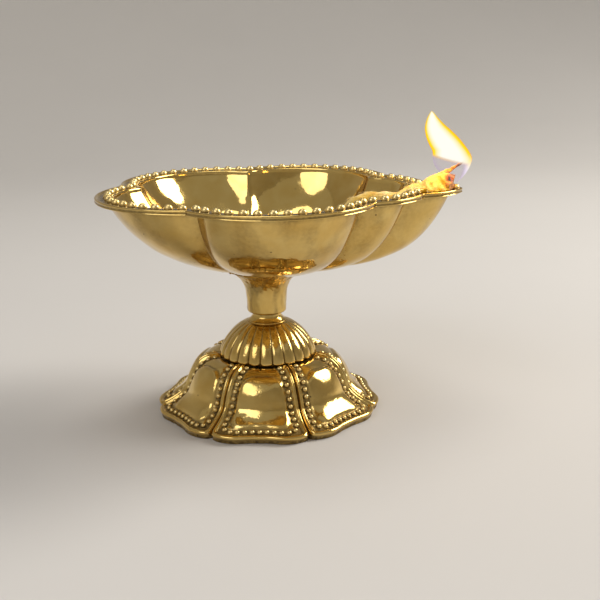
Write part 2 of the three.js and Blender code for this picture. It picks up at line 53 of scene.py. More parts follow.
# Foot, in millimetres and degrees
PETALS = 7
HALF_PETAL = 180 / PETALS
PETAL_TURN = 4.2
BORE_RADIUS = 3.15  # of foot, dome, stem and spigot, round the stud
PLATE_Z = (16.5, 18.3)  # of the foot's plate, which the washer bears on
FOOT_NOTCH_RADIUS = 36.3
FOOT_MID_RADIUS = 37.0
FOOT_CORNER_RADIUS = 38.7
FOOT_CORNER_ANGLE = 15.5
FOOT_SHOULDER_RADIUS = 28.5  # where the steep side becomes the hollow flare
FOOT_PROFILE = ((15.2, 18.3), (16.2, 18.35), (17.2, 18.7), (19, 18.9), (21, 18.5), (23, 17.4), (24.8, 15.6),
                (26.3, 13.2), (27.5, 10.6), (28.5, 8.1), (30, 6.2), (31.5, 4.9), (33, 3.85), (34.5, 3.0),
                (35.6, 2.4), (36.3, 1.95))  # radius and height, down the outside
FOOT_ROLL = ((0.06, 2.42), (-0.01, 2.2), (0.0, 1.95), (0.12, 1.7), (0.32, 1.45), (0.5, 1.15), (0.58, 0.8),
             (0.6, 0.3), (0.68, 0.07), (0.85, 0.0))  # the rolled edge: in from the outline, and height
FOOT_RING = 2.2  # from the outline to the inner side of the flat ring that it stands on
FOOT_INSIDE = ((34.8, 1.2, 0.8), (31.8, 3.9, 0.35), (29.0, 5.4, 0), (27.4, 7.6, 0), (25.4, 11.6, 0),
               (22.4, 14.8, 0), (19.0, 16.4, 0), (15.0, PLATE_Z[0], 0), (BORE_RADIUS, PLATE_Z[0], 0),
               (BORE_RADIUS, PLATE_Z[1], 0))  # radius, height, and share of the outline's waves
RIDGE_HEIGHT = 0.8  # half-round border round each petal
RIDGE_FROM_EDGE = 0.85  # its top, in from the petal's side line
RIDGE_HALF_WIDTH = 0.75
RIDGE_CORNER = 2.2  # rounding of its lower corners
EDGE_SHIFT = 0.7  # along the lower edge everything lies this much closer, so the border is the rolled edge
GROOVE_DEPTH = 0.55  # between two petals
GROOVE_WIDTH = 0.35
CHANNEL_FROM_EDGE = 2.95  # row of beads
CHANNEL_DEPTH = 0.25
PANEL_FROM_EDGE = (4.1, 5.6)  # foot and top of the panel's rounded shoulder
PANEL_CORNER = 4.2
PANEL_TOP = 7.8  # its upper end, along the side from the dome's seat
PANEL_PUFF = 1.0
FOOT_BEAD_RADIUS = 0.86
FOOT_BEAD_PITCH = 2.35
FOOT_BEAD_TOP = 2.6  # where the row starts, along the side from the dome's seat
FOOT_BEAD_CORNER = 2.4  # radius of the row's turn at the petal's lower corners

# Dome, stem, stud, washer and nut
DOME_EDGE_RADIUS = 16.8
DOME_SEAT_RADIUS = 15.8
DOME_SEAT_Z = 18.6
DOME_EDGE_Z = 19.2
DOME_WALL = 1.8
DOME_POWER = 1.5
FLUTES = 24
FLUTE_COLUMNS = 14
FLUTE_DEPTH = 1.05
FLUTE_LIFT = 0.55  # grooves end this much higher than ribs, so the lower edge is scalloped
COLLAR_FOOT_Z = 30.6
COLLAR_FOOT_RADIUS = 6.5
COLLAR_RING = ((6.62, 30.55), (6.72, 30.68), (6.68, 30.85), (6.5, 30.95))  # radius and height
COLLAR_NECK = (6.35, 31.0)
COLLAR_TOP_Z = 33.6
COLLAR_RADIUS = 4.9
COLLAR_CHAMFER = 0.12
STEM_FOOT_Z = 33.9
STEM_TOP_Z = 48.2
STEM_FOOT_RADIUS = 6.7
STEM_TOP_RADIUS = 12.0
STEM_POWER = 4.6
STEM_EDGE = ((5.6, 0), (6.15, 0.03), (6.45, 0.14), (6.62, 0.32))  # rounded foot: radius, and height over it
STEM_EDGE_HEIGHT = 0.55
STEM_LAND = 0.18  # its top face over the flare's end
SOCKET_RADIUS = 5.3
SOCKET_Z = 39.2
SEAM_HALF_SIZE = (0.75, 0.36)
STUD_RADIUS = 2.85
STUD_FOOT_Z = 8.4
STUD_TOP_Z = 46.2
STUD_END = (2.3, 0.9)  # radius of its ends, and how fast the chamfer widens
THREAD_PITCH = 1.0
THREAD_DEPTH = 0.32
WASHER_RADIUS = 6.5
WASHER_Z = (15.0, 16.2)
NUT_Z = (9.9, 14.7)
NUT_FLATS = 10.0
NUT_FACE_RADIUS = 4.55
NUT_CONE = (4.7, 1.7)  # radius of the chamfer's cone at the faces, and how fast it widens
NUT_CHAMFER = 0.25  # of its bore

# Bowl
RIM_Z = 76.4
FLANGE_Z = 75.3
FLANGE_WIDTH = 6.0
FLANGE_OVERHANG = 3.8
FLANGE_LIP = (
    (6.0, -0.6, 1.0, 0.0), (5.93, -0.3, 0.9, 0.0), (5.75, -0.1, 0.75, 0.0), (5.5, 0.0, 0.6, 0.05),
    (5.2, 0.02, 0.45, 0.4), (4.7, 0.0, 0.2, 0.7), (4.1, -0.03, 0.05, 0.8), (3.5, -0.05, 0.0, 0.85),
    (2.9, -0.1, 0.0, 0.85), (2.3, -0.18, 0.0, 0.8), (1.8, -0.2, 0.0, 0.75), (1.4, -0.1, 0.0, 0.5),
    (1.1, 0.12, 0.0, 0.1), (0.85, 0.33, 0.0, 0.0), (0.6, 0.43, 0.0, 0.0), (0.35, 0.42, 0.0, 0.0),
    (0.16, 0.34, 0.0, 0.0), (0.04, 0.2, 0.0, 0.0), (0.0, 0.04, 0.0, 0.0), (0.06, -0.15, 0.0, 0.3),
    (0.16, -0.35, 0.0, 0.6), (0.17, -0.6, 0.0, 0.6), (0.08, -0.8, 0.0, 0.3), (0.0, -0.92, 0.0, 0.0),
    (0.08, -1.05, 0.0, 0.0), (0.3, -1.1, 0.0, 0.1), (0.7, -1.1, 0.0, 0.3), (1.5, -1.12, 0.0, 0.4),
    (2.6, -1.1, 0.1, 0.5), (3.3, -1.12, 0.4, 0.6))  # inset, height over RIM_Z, share of crease, darkening: tarnish and painted shade in the bead strip, painted dark reflection on the edge's face, painted shade under the flange
LIP_INSIDE = 4.5  # rows further in than this take the inner crease
BOWL_SEAT_Z = 48.5
BOWL_FLOOR_Z = 50.2
SPIGOT_RADIUS = 5.0
SPIGOT_FOOT_Z = 39.5
SPIGOT_BORE_Z = 46.5
SPIGOT_CHAMFER = 0.3
BELLY_SHARE = 0.55
BELLY_CHANGE = 0.25
SHOULDER_POWER = 7.5
BELLY_LEAN = -1.8
ROUND_SHARE = 0.53
OUTER_CREASE = 2.2
INNER_CREASE = 1.1
SPOUT_TIP = (65.4, 0.0)
SPOUT_ROOT = (53.1, 13.85)
SIDE_NOTCH = (39.0, 30.2)
REAR_NOTCH = (-15.1, 47.5)
TAIL_NOTCH = (-49.2, 0.0)
BULGES = (2.2, 2.5, 16.1, 16.7)  # of the tip, small, side and rear lobes, out of their chords
LOBE_COLUMNS = (26, 14, 52, 52)
BEAD_PITCH = 4.28
BEAD_LENGTH = 2.9
BEAD_WIDTH = 2.5
BEAD_HEIGHT = 1.45
BEAD_INSET = 4.1
BEAD_RISE = 0.1  # of its middle, over RIM_Z
TIP_BEAD = (63.3, 0.0)

# Wick and flame: the middle of the roll as X and Z, and the flame's outline as Z, left X and right X
WICK_RADIUS = 2.25
WICK_ROUTE = ((13.0, 53.9), (19.0, 56.5), (24.5, 63.5), (28.5, 69.2), (32.8, 72.3), (38.7, 72.9),
              (44.6, 72.8), (49.0, 74.0), (53.0, 76.0), (56.3, 78.5), (59.6, 79.3), (62.4, 79.4))
WICK_SPREAD = ((43, 1.0, 1.0), (47, 2.2, 1.3), (50, 3.7, 1.6), (53, 4.1, 1.8), (56, 3.8, 1.9),
               (59, 3.1, 1.8), (61, 2.5, 1.6), (62.5, 1.9, 1.4))  # X, how much wider it is to -Y and to +Y
WICK_SPREAD_X = (43, 50)  # where the roll goes over from round to spread
WICK_SPREAD_Z = 77.1  # height of its spread sides, over the flange's beads
WICK_LIT_X = (46, 57)  # where the flame's light in the cotton starts and is full
WICK_TWIST = 17  # length in which its strands go once round
FIBRE_WIDTH = 0.25
FIBRE_COUNT = 420
FIBRE_RADIUS = 0.06
THREAD_ROUTE = ((57.6, 80.4), (59.6, 81.6), (61.6, 82.7), (63.6, 83.9), (65.9, 85.6))
THREAD_RADII = (0.9, 0.25)
EMBER = (61.2, -2.6, 79.9)
EMBER_SPREAD = 3.8  # its glow falls as e to the power of minus the distance squared over this
FLAME_OUTLINE = ((78.9, 62.6, 64.0), (80.5, 60.2, 65.6), (82.4, 57.4, 66.9), (84.4, 56.0, 67.8),
                 (86.3, 55.6, 68.1), (88.5, 55.4, 67.1), (90.4, 54.4, 65.7), (92.8, 53.4, 63.7),
                 (95.2, 52.9, 61.2), (97.2, 53.0, 58.9), (99.2, 53.6, 56.9), (100.5, 54.3, 55.8))
FLAME_TIP = (54.9, 101.3)
FLAME_FOOT = (63.6, 78.5)
FLAME_BODY = (58, 86.6, -0.25)  # X, the bright body's lower limit there, and that limit's slope
FLAME_DEPTH_SHARE = 0.72

# Camera and stage, metres and degrees
CAMERA_PLACE = (0.0451, -0.3114, 0.1237)
CAMERA_ANGLES = (74.696, 0.811, 7.388)
PHOTO_SIDE = 600
FOCAL_PIXELS = 950
SENSOR_WIDTH = 36.0
COVE_FLOOR = 0.65
COVE_CURVE = 0.7
COVE_HEIGHT = 1.3
LAMPS = (("key", (0.8, 0.4, 0.7), (0.6, 0.6), 6.6, "#FFFCF8"),
         ("fill", (-0.45, -0.7, 0.8), (0.8, 0.6), 1.6, "#F4F6FF"),
         ("top", (-0.1, 0.1, 1.1), (0.6, 0.6), 1.3, "#FFFFFF"))  # place, width and height, watts, colour
LAMP_AIM = (0.0, 0.0, 0.05)
LAMP_SPREAD = 145  # cone of each lamp, so that little of its light falls on the cove beside it
FLAME_LIGHT = (0.060, 0.091)  # distance from the stem's axis, and height
FLAME_WATTS = 0.02
FLAME_LIGHT_RADIUS = 0.006


def make_camera():
    """The photograph's viewpoint: a little above the rim, slightly to the right of the lamp's side."""
    data = bpy.data.cameras.new("camera")
    data.sensor_width = SENSOR_WIDTH
    data.lens = SENSOR_WIDTH * FOCAL_PIXELS / PHOTO_SIDE
    data.clip_start = 0.01
    camera = bpy.data.objects.new("camera", data)
    camera.location = CAMERA_PLACE
    camera.rotation_euler = [math.radians(angle) for angle in CAMERA_ANGLES]
    bpy.context.scene.collection.objects.link(camera)
    bpy.context.scene.camera = camera


make_camera()


# Numbers

def smooth(low, high, x):
    """Eased step: 0 below low, 1 above high, and the cubic 3t2 - 2t3 between."""
    t = np.clip((x - low) / (high - low), 0, 1)
    return t * t * (3 - 2 * t)


def mix(a, b, share):
    """Straight blend from a to b."""
    return a + (b - a) * share


def turns(columns):
    """Even angles round a circle, from 0."""
    return np.arange(columns) * 2 * np.pi / columns


def about_axis(radius, angle, z):
    """Points about the stem's axis: radius times cosine, radius times sine, and height."""
    return np.stack(np.broadcast_arrays(radius * np.cos(angle), radius * np.sin(angle), z), -1)


def lengths(row):
    """Distance of each point along a row of points: the running sum of the steps."""
    return np.concatenate([[0], np.cumsum(np.linalg.norm(np.diff(row, axis=0), axis=1))])


def read_off(row, at, wanted):
    """Values at the wanted distances, straight between the rows that are known at rising distances."""
    return np.stack([np.interp(wanted, at, column) for column in row.T], 1)


def even_places(length, pitch):
    """Beads along a length: as many as the pitch gives, evenly spaced, half a step in from both ends."""
    count = round(length / pitch)
    return length * (np.arange(count) + 0.5) / count


def unit(vectors):
    """The vectors, each divided by its length."""
    return vectors / np.linalg.norm(vectors, axis=-1, keepdims=True)


def curve_through(points, count):
    """Points evenly spaced along the Catmull-Rom curve through the given ones: on each span the usual cubic
    of its four neighbours, with the ends carried on in a straight line."""
    given = np.array(points, float)
    given = np.vstack([2 * given[0] - given[1], given, 2 * given[-1] - given[-2]])
    spans = len(given) - 3
    t = np.linspace(0, spans, 40 * spans + 1)
    i = np.minimum(t.astype(int), spans - 1)
    f = (t - i)[:, None]
    a, b, c, d = (given[i + k] for k in range(4))
    square, cube = 2 * a - 5 * b + 4 * c - d, 3 * b - a - 3 * c + d
    fine = 0.5 * (2 * b + (c - a) * f + square * f ** 2 + cube * f ** 3)
    length = lengths(fine)
    return read_off(fine, length, np.linspace(0, length[-1], count))


def lumps(points, size, seed, waves=28):
    """Smooth random height at each point, with a spread of about 1: the sum of plane sine waves over the root
    of half their number. Their directions and phases are drawn once from a seed, and their wavelengths lie
    round the given size."""
    draw = np.random.default_rng(seed)
    directions = unit(draw.normal(size=(waves, 3)))
    numbers = 2 * np.pi / (size * draw.uniform(0.6, 1.6, waves))
    phases = draw.uniform(0, 2 * np.pi, waves)
    flat = np.asarray(points, float).reshape(-1, 3)
    total = np.sin((flat @ directions.T) * numbers + phases).sum(1) / math.sqrt(waves / 2)
    return total.reshape(np.asarray(points).shape[:-1])


# Meshes

def skin(rows, closed_ends=False, first=None, last=None):
    """Skin over rows of points, an array (rows, columns, 3): neighbours are joined by quads and the last
    column by the first. closed_ends joins the last row to the first. first and last are points that close
    the ends."""
    count, columns = rows.shape[:2]
    points = rows.reshape(-1, 3)
    index = np.arange(count * columns).reshape(count, columns)
    if closed_ends:
        index = np.vstack([index, index[:1]])
    here, across = index[:-1], np.roll(index[:-1], -1, 1)
    above, beyond = index[1:], np.roll(index[1:], -1, 1)
    faces = np.stack([here, across, beyond, above], -1).reshape(-1, 4).tolist()
    for pole, row, turn in ((first, index[0], True), (last, index[-1], False)):
        if pole is None:
            continue
        points = np.vstack([points, pole])
        fan = np.stack([np.full(columns, len(points) - 1), row, np.roll(row, -1)], -1)
        faces += (fan[:, [0, 2, 1]] if turn else fan).tolist()
    return points, faces


def together(shells):
    """Several closed skins as one list of points and faces."""
    points, faces, offset = [], [], 0
    for shell_points, shell_faces in shells:
        points.append(shell_points)
        faces += [[i + offset for i in face] for face in shell_faces]
        offset += len(shell_points)
    return np.vstack(points), faces


def volume(points, faces):
    """Signed volume of a closed skin: a sixth of the sum of each fan triangle's triple product."""
    total = 0.0
    for size in (3, 4):
        chosen = np.array([f for f in faces if len(f) == size], int).reshape(-1, size)
        for k in range(1, size - 1):
            a, b, c = points[chosen[:, 0]], points[chosen[:, k]], points[chosen[:, k + 1]]
            total += (a * np.cross(b, c)).sum() / 6
    return total


def make_piece(name, shell, body, material, replaced=None, marks=None, sharp=40):
    """Makes the object: points in millimetres about the stem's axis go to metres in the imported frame, faces
    are turned outwards, and marks are numbers kept on the points for the material."""
    points, faces = shell
    if volume(points, faces) < 0:
        faces = [face[::-1] for face in faces]
    mesh = bpy.data.meshes.new(name)
    mesh.from_pydata((points * MM + np.array([AXIS_X, 0, 0])).tolist(), [], faces)
    mesh.polygons.foreach_set("use_smooth", np.ones(len(faces), bool))
    mesh.set_sharp_from_angle(angle=math.radians(sharp))
    for mark, values in marks.items():
        attribute = mesh.attributes.new(mark, "FLOAT", "POINT")
        attribute.data.foreach_set("value", np.broadcast_to(values, len(points)).astype(np.float32))
    mesh.materials.append(material)
    piece = bpy.data.objects.new(name, mesh)
    bpy.context.scene.collection.objects.link(piece)
    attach(piece, body)
    if replaced:
        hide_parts(replaced)
    return piece


def lathe(profile, columns):
    """Rows of a solid of revolution: each profile point (radius, z) swept round the axis."""
    profile = np.array(profile, float)
    return about_axis(profile[:, :1], turns(columns), profile[:, 1:])


def bead_shell(centres, ups, alongs, size, columns, rings):
    """Beads on a surface: at each centre an oval of half sizes (along the row, across it, up), as a grid of
    latitude and longitude with a point at each end."""
    latitude = np.linspace(-0.5, 0.5, rings + 2)[1:-1] * np.pi
    longitude = turns(columns)
    length = size[0] * np.outer(np.cos(latitude), np.cos(longitude))[..., None]
    width = size[1] * np.outer(np.cos(latitude), np.sin(longitude))[..., None]
    rise = size[2] * np.sin(latitude)[:, None, None]
    shells = []
    for centre, up, along in zip(centres, ups, alongs):
        rows = centre + length * along + width * np.cross(up, along) + rise * up
        shells.append(skin(rows, first=centre - size[2] * up, last=centre + size[2] * up))
    return together(shells)


# Materials

def linear(code):
    """An sRGB hex colour as linear red, green, blue and alpha."""
    parts = [int(code[i:i + 2], 16) / 255 for i in (1, 3, 5)]
    return tuple(p / 12.92 if p <= 0.04045 else ((p + 0.055) / 1.055) ** 2.4 for p in parts) + (1.0,)


def node(tree, kind, inputs=(), out=None, **settings):
    """Adds a node with its settings. Inputs are given by name, or else as a tuple in the order of the
    sockets in use: another node's socket is linked, anything else is set. Returns the output of that name,
    or else the first one in use."""
    made = tree.nodes.new("ShaderNode" + kind)
    for key, value in settings.items():
        setattr(made, key, value)
    if isinstance(inputs, dict):
        pairs = [(made.inputs[key], value) for key, value in inputs.items()]
    else:
        pairs = zip([socket for socket in made.inputs if socket.enabled], inputs)
    for socket, value in pairs:
        if isinstance(value, bpy.types.NodeSocket):
            tree.links.new(value, socket)
        else:
            socket.default_value = value
    return made.outputs[out] if out else next((socket for socket in made.outputs if socket.enabled), None)


def new_material(name):
    """Empty material and its node tree."""
    material = bpy.data.materials.new(name)
    material.use_nodes = True
    material.node_tree.nodes.clear()
    return material, material.node_tree


def brass(name, polish, base, rough, wave, pits):
    """Yellow brass. Casting leaves it softly wavy with a few small dark pores, buffing gives a mirror with
    faint smears, and lamp oil and polish left in the recesses turn dark brown and dull. The same dark brown
    also paints shade in recesses, under overhangs and at joints, and dark reflections on some faces. The
    marks on the points say where: one for that darkening and cast for skin that the buffing wheel doesn't
    reach."""
    material, tree = new_material(name)
    place = node(tree, "TexCoord", out="Object")
    tarnish_and_shade, cast = (node(tree, "Attribute", out="Fac", attribute_name=mark) for mark in ("tarnish_and_shade", "cast"))

    # Smears 9 mm across, grime 1.2 mm, grain 0.5 mm and waves 7 mm long; pits 1.6 mm and pores 5 mm apart
    smear, grime, grain, swell = (
        node(tree, "TexNoise", {"Vector": place, "Scale": 1 / (size * MM), "Detail": detail,
                                "Distortion": bend})
        for size, detail, bend in ((9, 2, 0.5), (1.2, 4, 0), (0.5, 2, 0), (7, 2, 0)))
    pit, pore = (node(tree, "TexVoronoi", {"Vector": place, "Scale": 1 / (apart * MM)})
                 for apart in (1.6, 5))

    grimy = node(tree, "MapRange", (grime, 0.3, 0.62, 0.6, 1.15))
    pore = node(tree, "MapRange", (pore, 0.03, 0.065, 0.8, 0.0))
    dark = node(tree, "Math", (tarnish_and_shade, grimy, pore), operation="MULTIPLY_ADD", use_clamp=True)
    warm = node(tree, "MapRange", (smear, 0.25, 0.8))
    metal = node(tree, "Mix", (warm, linear(base[0]), linear(base[1])), data_type="RGBA")
    # Dark brown where the darkening mark is high: partly tarnish, partly painted shade and painted dark
    # reflection
    colour = node(tree, "Mix", (dark, metal, linear("#3B2A12")), data_type="RGBA")
    metallic = node(tree, "Math", (dark, -0.35, 1.0), operation="MULTIPLY_ADD")
    dull = node(tree, "MapRange", (smear, 0.3, 0.7, *polish))
    dull = node(tree, "Math", (dark, 0.22, dull), operation="MULTIPLY_ADD")
    dull = node(tree, "Math", (cast, rough, dull), operation="MULTIPLY_ADD")

    pit = node(tree, "MapRange", (pit, 0.12, 0.3))
    skin_height = node(tree, "Math", (grain, 0.6, pit), operation="MULTIPLY_ADD")
    depth = node(tree, "Math", (cast, 0.97, 0.03), operation="MULTIPLY_ADD")
    waves = node(tree, "Bump", {"Height": swell, "Strength": 1.0, "Distance": wave * MM})
    bumps = node(tree, "Bump", {"Height": skin_height, "Strength": depth, "Distance": pits * MM,
                                "Normal": waves})
    shader = node(tree, "BsdfPrincipled", {"Base Color": colour, "Metallic": metallic, "Roughness": dull,
                                           "Normal": bumps})
    node(tree, "OutputMaterial", (shader,))
    return material


def oiled_cotton():
    """Hand-rolled cotton, soaked in oil and burnt at its end: cream to honey yellow, dull, with fibres 0.25
    mm wide running along the roll, then brown and black char with a red ember. Close to the flame its light
    through the oily fibres is painted in, as a deeper yellow and a faint glow. The marks burn, ember and lit
    on the points say where."""
    material, tree = new_material("oil-soaked rolled cotton")
    along = node(tree, "UVMap", uv_map="along")
    place = node(tree, "TexCoord", out="Object")
    marks = ("burn", "ember", "lit")
    burn, ember, lit = (node(tree, "Attribute", out="Fac", attribute_name=mark) for mark in marks)

    # Fibres a step of their map wide, oil in patches of 5 mm and char in flakes of 1.1 mm
    fibre = node(tree, "TexNoise", {"Vector": along, "Scale": 1.0, "Detail": 4.0, "Distortion": 0.6})
    soak = node(tree, "TexNoise", {"Vector": place, "Scale": 1 / (5 * MM), "Detail": 3.0})
    char = node(tree, "TexNoise", {"Vector": place, "Scale": 1 / (1.1 * MM), "Detail": 4.0})

    oily = node(tree, "MapRange", (soak, 0.38, 0.62))
    clean = node(tree, "Mix", (oily, linear("#FFF0B0"), linear("#F7D670")), data_type="RGBA")
    # Towards the flame the colour turns a deeper yellow: painted flame light
    clean = node(tree, "Mix", (lit, clean, linear("#EDB72C")), data_type="RGBA")
    shade = node(tree, "MapRange", (fibre, 0.35, 0.6, 0.2, 0.0))
    cotton = node(tree, "Mix", (shade, clean, linear("#8A6328")), data_type="RGBA")
    patchy = node(tree, "Math", (char, 0.9, -0.45), operation="MULTIPLY_ADD")
    burnt = node(tree, "Math", (burn, patchy), operation="ADD", use_clamp=True)
    singe = node(tree, "MapRange", (burnt, 0.2, 0.6))
    black = node(tree, "MapRange", (burnt, 0.55, 0.9))
    singed = node(tree, "Mix", (singe, cotton, linear("#B4661F")), data_type="RGBA")
    colour = node(tree, "Mix", (black, singed, linear("#1D130C")), data_type="RGBA")
    bump = node(tree, "Bump", {"Height": fibre, "Strength": 0.8, "Distance": 0.25 * MM})

    crack = node(tree, "MapRange", (char, 0.44, 0.6))
    coal = node(tree, "Math", (ember, crack), operation="MULTIPLY")
    # Unburnt cotton glows faintly towards the flame: painted flame light
    unburnt = node(tree, "Math", (1.0, singe), operation="SUBTRACT", use_clamp=True)
    through = node(tree, "Math", (lit, unburnt), operation="MULTIPLY")
    through = node(tree, "Math", (through, 0.3), operation="MULTIPLY")
    warmth = node(tree, "Mix", (ember, linear("#FFC41E"), linear("#FF3C0A")), data_type="RGBA")
    light = node(tree, "Math", (coal, through), operation="ADD")
    shader = node(tree, "BsdfPrincipled", {
        "Base Color": colour, "Roughness": 0.8, "Sheen Weight": 0.3, "Normal": bump,
        "Subsurface Weight": 0.3, "Subsurface Radius": (1.0, 0.85, 0.5), "Subsurface Scale": 1.2 * MM,
        "Emission Color": warmth, "Emission Strength": light})
    node(tree, "OutputMaterial", (shader,))
    return material


def candle_flame():
    """Flame: light, not a surface. Almost white in the middle, yellow and then orange towards the rim, and
    an almost clear violet foot beside the wick. The mark glow on the points is 1 in the bright body and 0
    at the foot, and the mark height keeps yellow and orange to the upper part."""
    material, tree = new_material("flame light")
    glow, height = (node(tree, "Attribute", out="Fac", attribute_name=mark) for mark in ("glow", "height"))
    facing = node(tree, "LayerWeight", {"Blend": 0.5}, out="Facing")
    edge = node(tree, "MapRange", (facing, 0.07, 0.42))
    rim = node(tree, "MapRange", (facing, 0.55, 0.95))
    edge = node(tree, "Math", (edge, height), operation="MULTIPLY")
    rim = node(tree, "Math", (rim, height), operation="MULTIPLY")
    whole = node(tree, "MapRange", (glow, 0.45, 0.95))
    foot = node(tree, "MapRange", (glow, 0.0, 0.4))
    heart = node(tree, "Mix", (edge, linear("#FFFDF0"), linear("#FFDC28")), data_type="RGBA")
    body = node(tree, "Mix", (rim, heart, linear("#FF9212")), data_type="RGBA")
    base = node(tree, "Mix", (height, linear("#EBDCF4"), linear("#FFC23A")), data_type="RGBA")
    lower = node(tree, "Mix", (whole, base, body), data_type="RGBA")
    colour = node(tree, "Mix", (foot, linear("#B493C8"), lower), data_type="RGBA")
    light = node(tree, "Emission", {"Color": colour, "Strength": 1.05})
    clear = node(tree, "BsdfTransparent")
    haze = node(tree, "MapRange", (facing, 0.2, 1.0, 0.05, 0.3))
    cover = node(tree, "Mix", (glow, haze, 0.97), data_type="FLOAT")
    flame = node(tree, "MixShader", (cover, clear, light))
    node(tree, "OutputMaterial", (flame,))
    return material


# Roughness between the smears and in them, the two colours, the cast skin's added roughness, and how deep
# waves and pits are in millimetres
BUFFED = ("#E4C67C", "#D3AD5C")
CAST = brass("cast brass, buffed", (0.05, 0.12), BUFFED, 0.26, 0.14, 0.2)
RELIEF = brass("cast brass relief, buffed by hand", (0.07, 0.16), BUFFED, 0.26, 0.24, 0.2)
# The beads' paler colours are a painted highlight
BEADED = brass("cast brass, buffed over beads", (0.26, 0.34), ("#F2DA98", "#E6C67C"), 0.17, 0.06, 0.1)
TURNED = brass("turned brass", (0.18, 0.28), ("#DBB868", "#CBA050"), 0.2, 0.02, 0.04)
PLAIN = brass("plain brass, unpolished", (0.3, 0.42), ("#BF9A52", "#A8813C"), 0.2, 0.04, 0.05)
COTTON = oiled_cotton()
FLAME = candle_flame()


# Bowl

def arc(p, q, bulge, steps=64):
    """Circular arc from p to q that stands out of its chord by bulge on the right: radius is the chord
    squared over 8 bulges plus half the bulge, and equal turns about the centre give the points."""
    p, q = np.array(p, float), np.array(q, float)
    chord = np.linalg.norm(q - p)
    radius = (chord ** 2 / 4 + bulge ** 2) / (2 * bulge)
    outwards = np.array([q[1] - p[1], p[0] - q[0]]) / chord
    centre = (p + q) / 2 + outwards * (bulge - radius)
    start = math.atan2(p[1] - centre[1], p[0] - centre[0])
    angle = start + 2 * math.asin(chord / 2 / radius) * np.arange(steps) / steps
    return centre + radius * np.stack([np.cos(angle), np.sin(angle)], 1)


CORNERS = [SPOUT_TIP, SPOUT_ROOT, SIDE_NOTCH, REAR_NOTCH, TAIL_NOTCH]
CORNERS += [(x, -y) for x, y in CORNERS[3:0:-1]]
LOBES = list(zip(CORNERS, CORNERS[1:] + CORNERS[:1]))
OUTLINE = np.vstack([arc(p, q, bulge) for (p, q), bulge in zip(LOBES, BULGES + BULGES[::-1])])
NEXT = np.roll(OUTLINE, -1, 0)
NOTCH_ANGLES = np.array([math.atan2(y, x) for x, y in CORNERS[1:]])


def edge_radius(angle):
    """Radius of the outline at each angle: the furthest crossing of the ray with the outline's short
    chords."""
    cos, sin = np.cos(angle)[:, None], np.sin(angle)[:, None]
    a = OUTLINE[:, 0] * sin - OUTLINE[:, 1] * cos
    b = NEXT[:, 0] * sin - NEXT[:, 1] * cos
    crossing = (a * b <= 0) & (a != b)
    t = a / np.where(a == b, 1, a - b)
    along = (OUTLINE[:, 0] + t * (NEXT[:, 0] - OUTLINE[:, 0])) * cos
    along += (OUTLINE[:, 1] + t * (NEXT[:, 1] - OUTLINE[:, 1])) * sin
    return np.where(crossing, along, 0).max(1)


def inset_radius(angle, inset):
    """Radius at which each ray is inset millimetres from the outline, by halving between the axis and the
    edge."""
    low, high = np.zeros(len(angle)), edge_radius(angle)
    if inset == 0:
        return high
    ray = np.stack([np.cos(angle), np.sin(angle)], 1)
    chord = NEXT - OUTLINE
    for _ in range(20):
        middle = (low + high) / 2
        away = (ray * middle[:, None])[:, None] - OUTLINE
        t = np.clip((away * chord).sum(-1) / (chord ** 2).sum(-1), 0, 1)
        gap = np.linalg.norm(away - t[..., None] * chord, axis=-1).min(1)
        low, high = np.where(gap > inset, middle, low), np.where(gap > inset, high, middle)
    return low


def crease_cut(angle):
    """Share of the crease's depth at each angle: at every notch a narrow crease on a wider soft one."""
    away = np.abs((angle[:, None] - NOTCH_ANGLES + np.pi) % (2 * np.pi) - np.pi) * 180 / np.pi
    return (0.3 * np.exp(-(away / 1.4) ** 1.3) + 0.7 * np.exp(-(away / 5.0) ** 2)).sum(1)


def bowl_angles():
    """Angles of the bowl's columns: across each lobe they bunch towards the notches as a cosine."""
    spans = []
    for (p, q), count in zip(LOBES, LOBE_COLUMNS + LOBE_COLUMNS[::-1]):
        start, end = math.atan2(p[1], p[0]), math.atan2(q[1], q[0])
        even = np.arange(count) / count
        spans.append(start + (end - start) % (2 * np.pi) * mix(even, (1 - np.cos(np.pi * even)) / 2, 0.75))
    return np.concatenate(spans)


def bowl_level(angle, radius, mean_radius, share, bottom_z):
    """One level of the bowl's section: the plan drawn in by its share, its lobes fading into a round
    bottom, drifting a little along X; the height falls as a shallow bowl plus a steep shoulder near the
    wall."""
    reach = share * mix(mean_radius, radius, smooth(0, ROUND_SHARE, share))
    belly = BELLY_SHARE - BELLY_CHANGE * np.cos(angle)
    z = bottom_z + (FLANGE_Z - bottom_z) * (belly * share ** 2 + (1 - belly) * share ** SHOULDER_POWER)
    return about_axis(reach, angle, z) + [BELLY_LEAN * 4 * share * (1 - share), 0, 0]


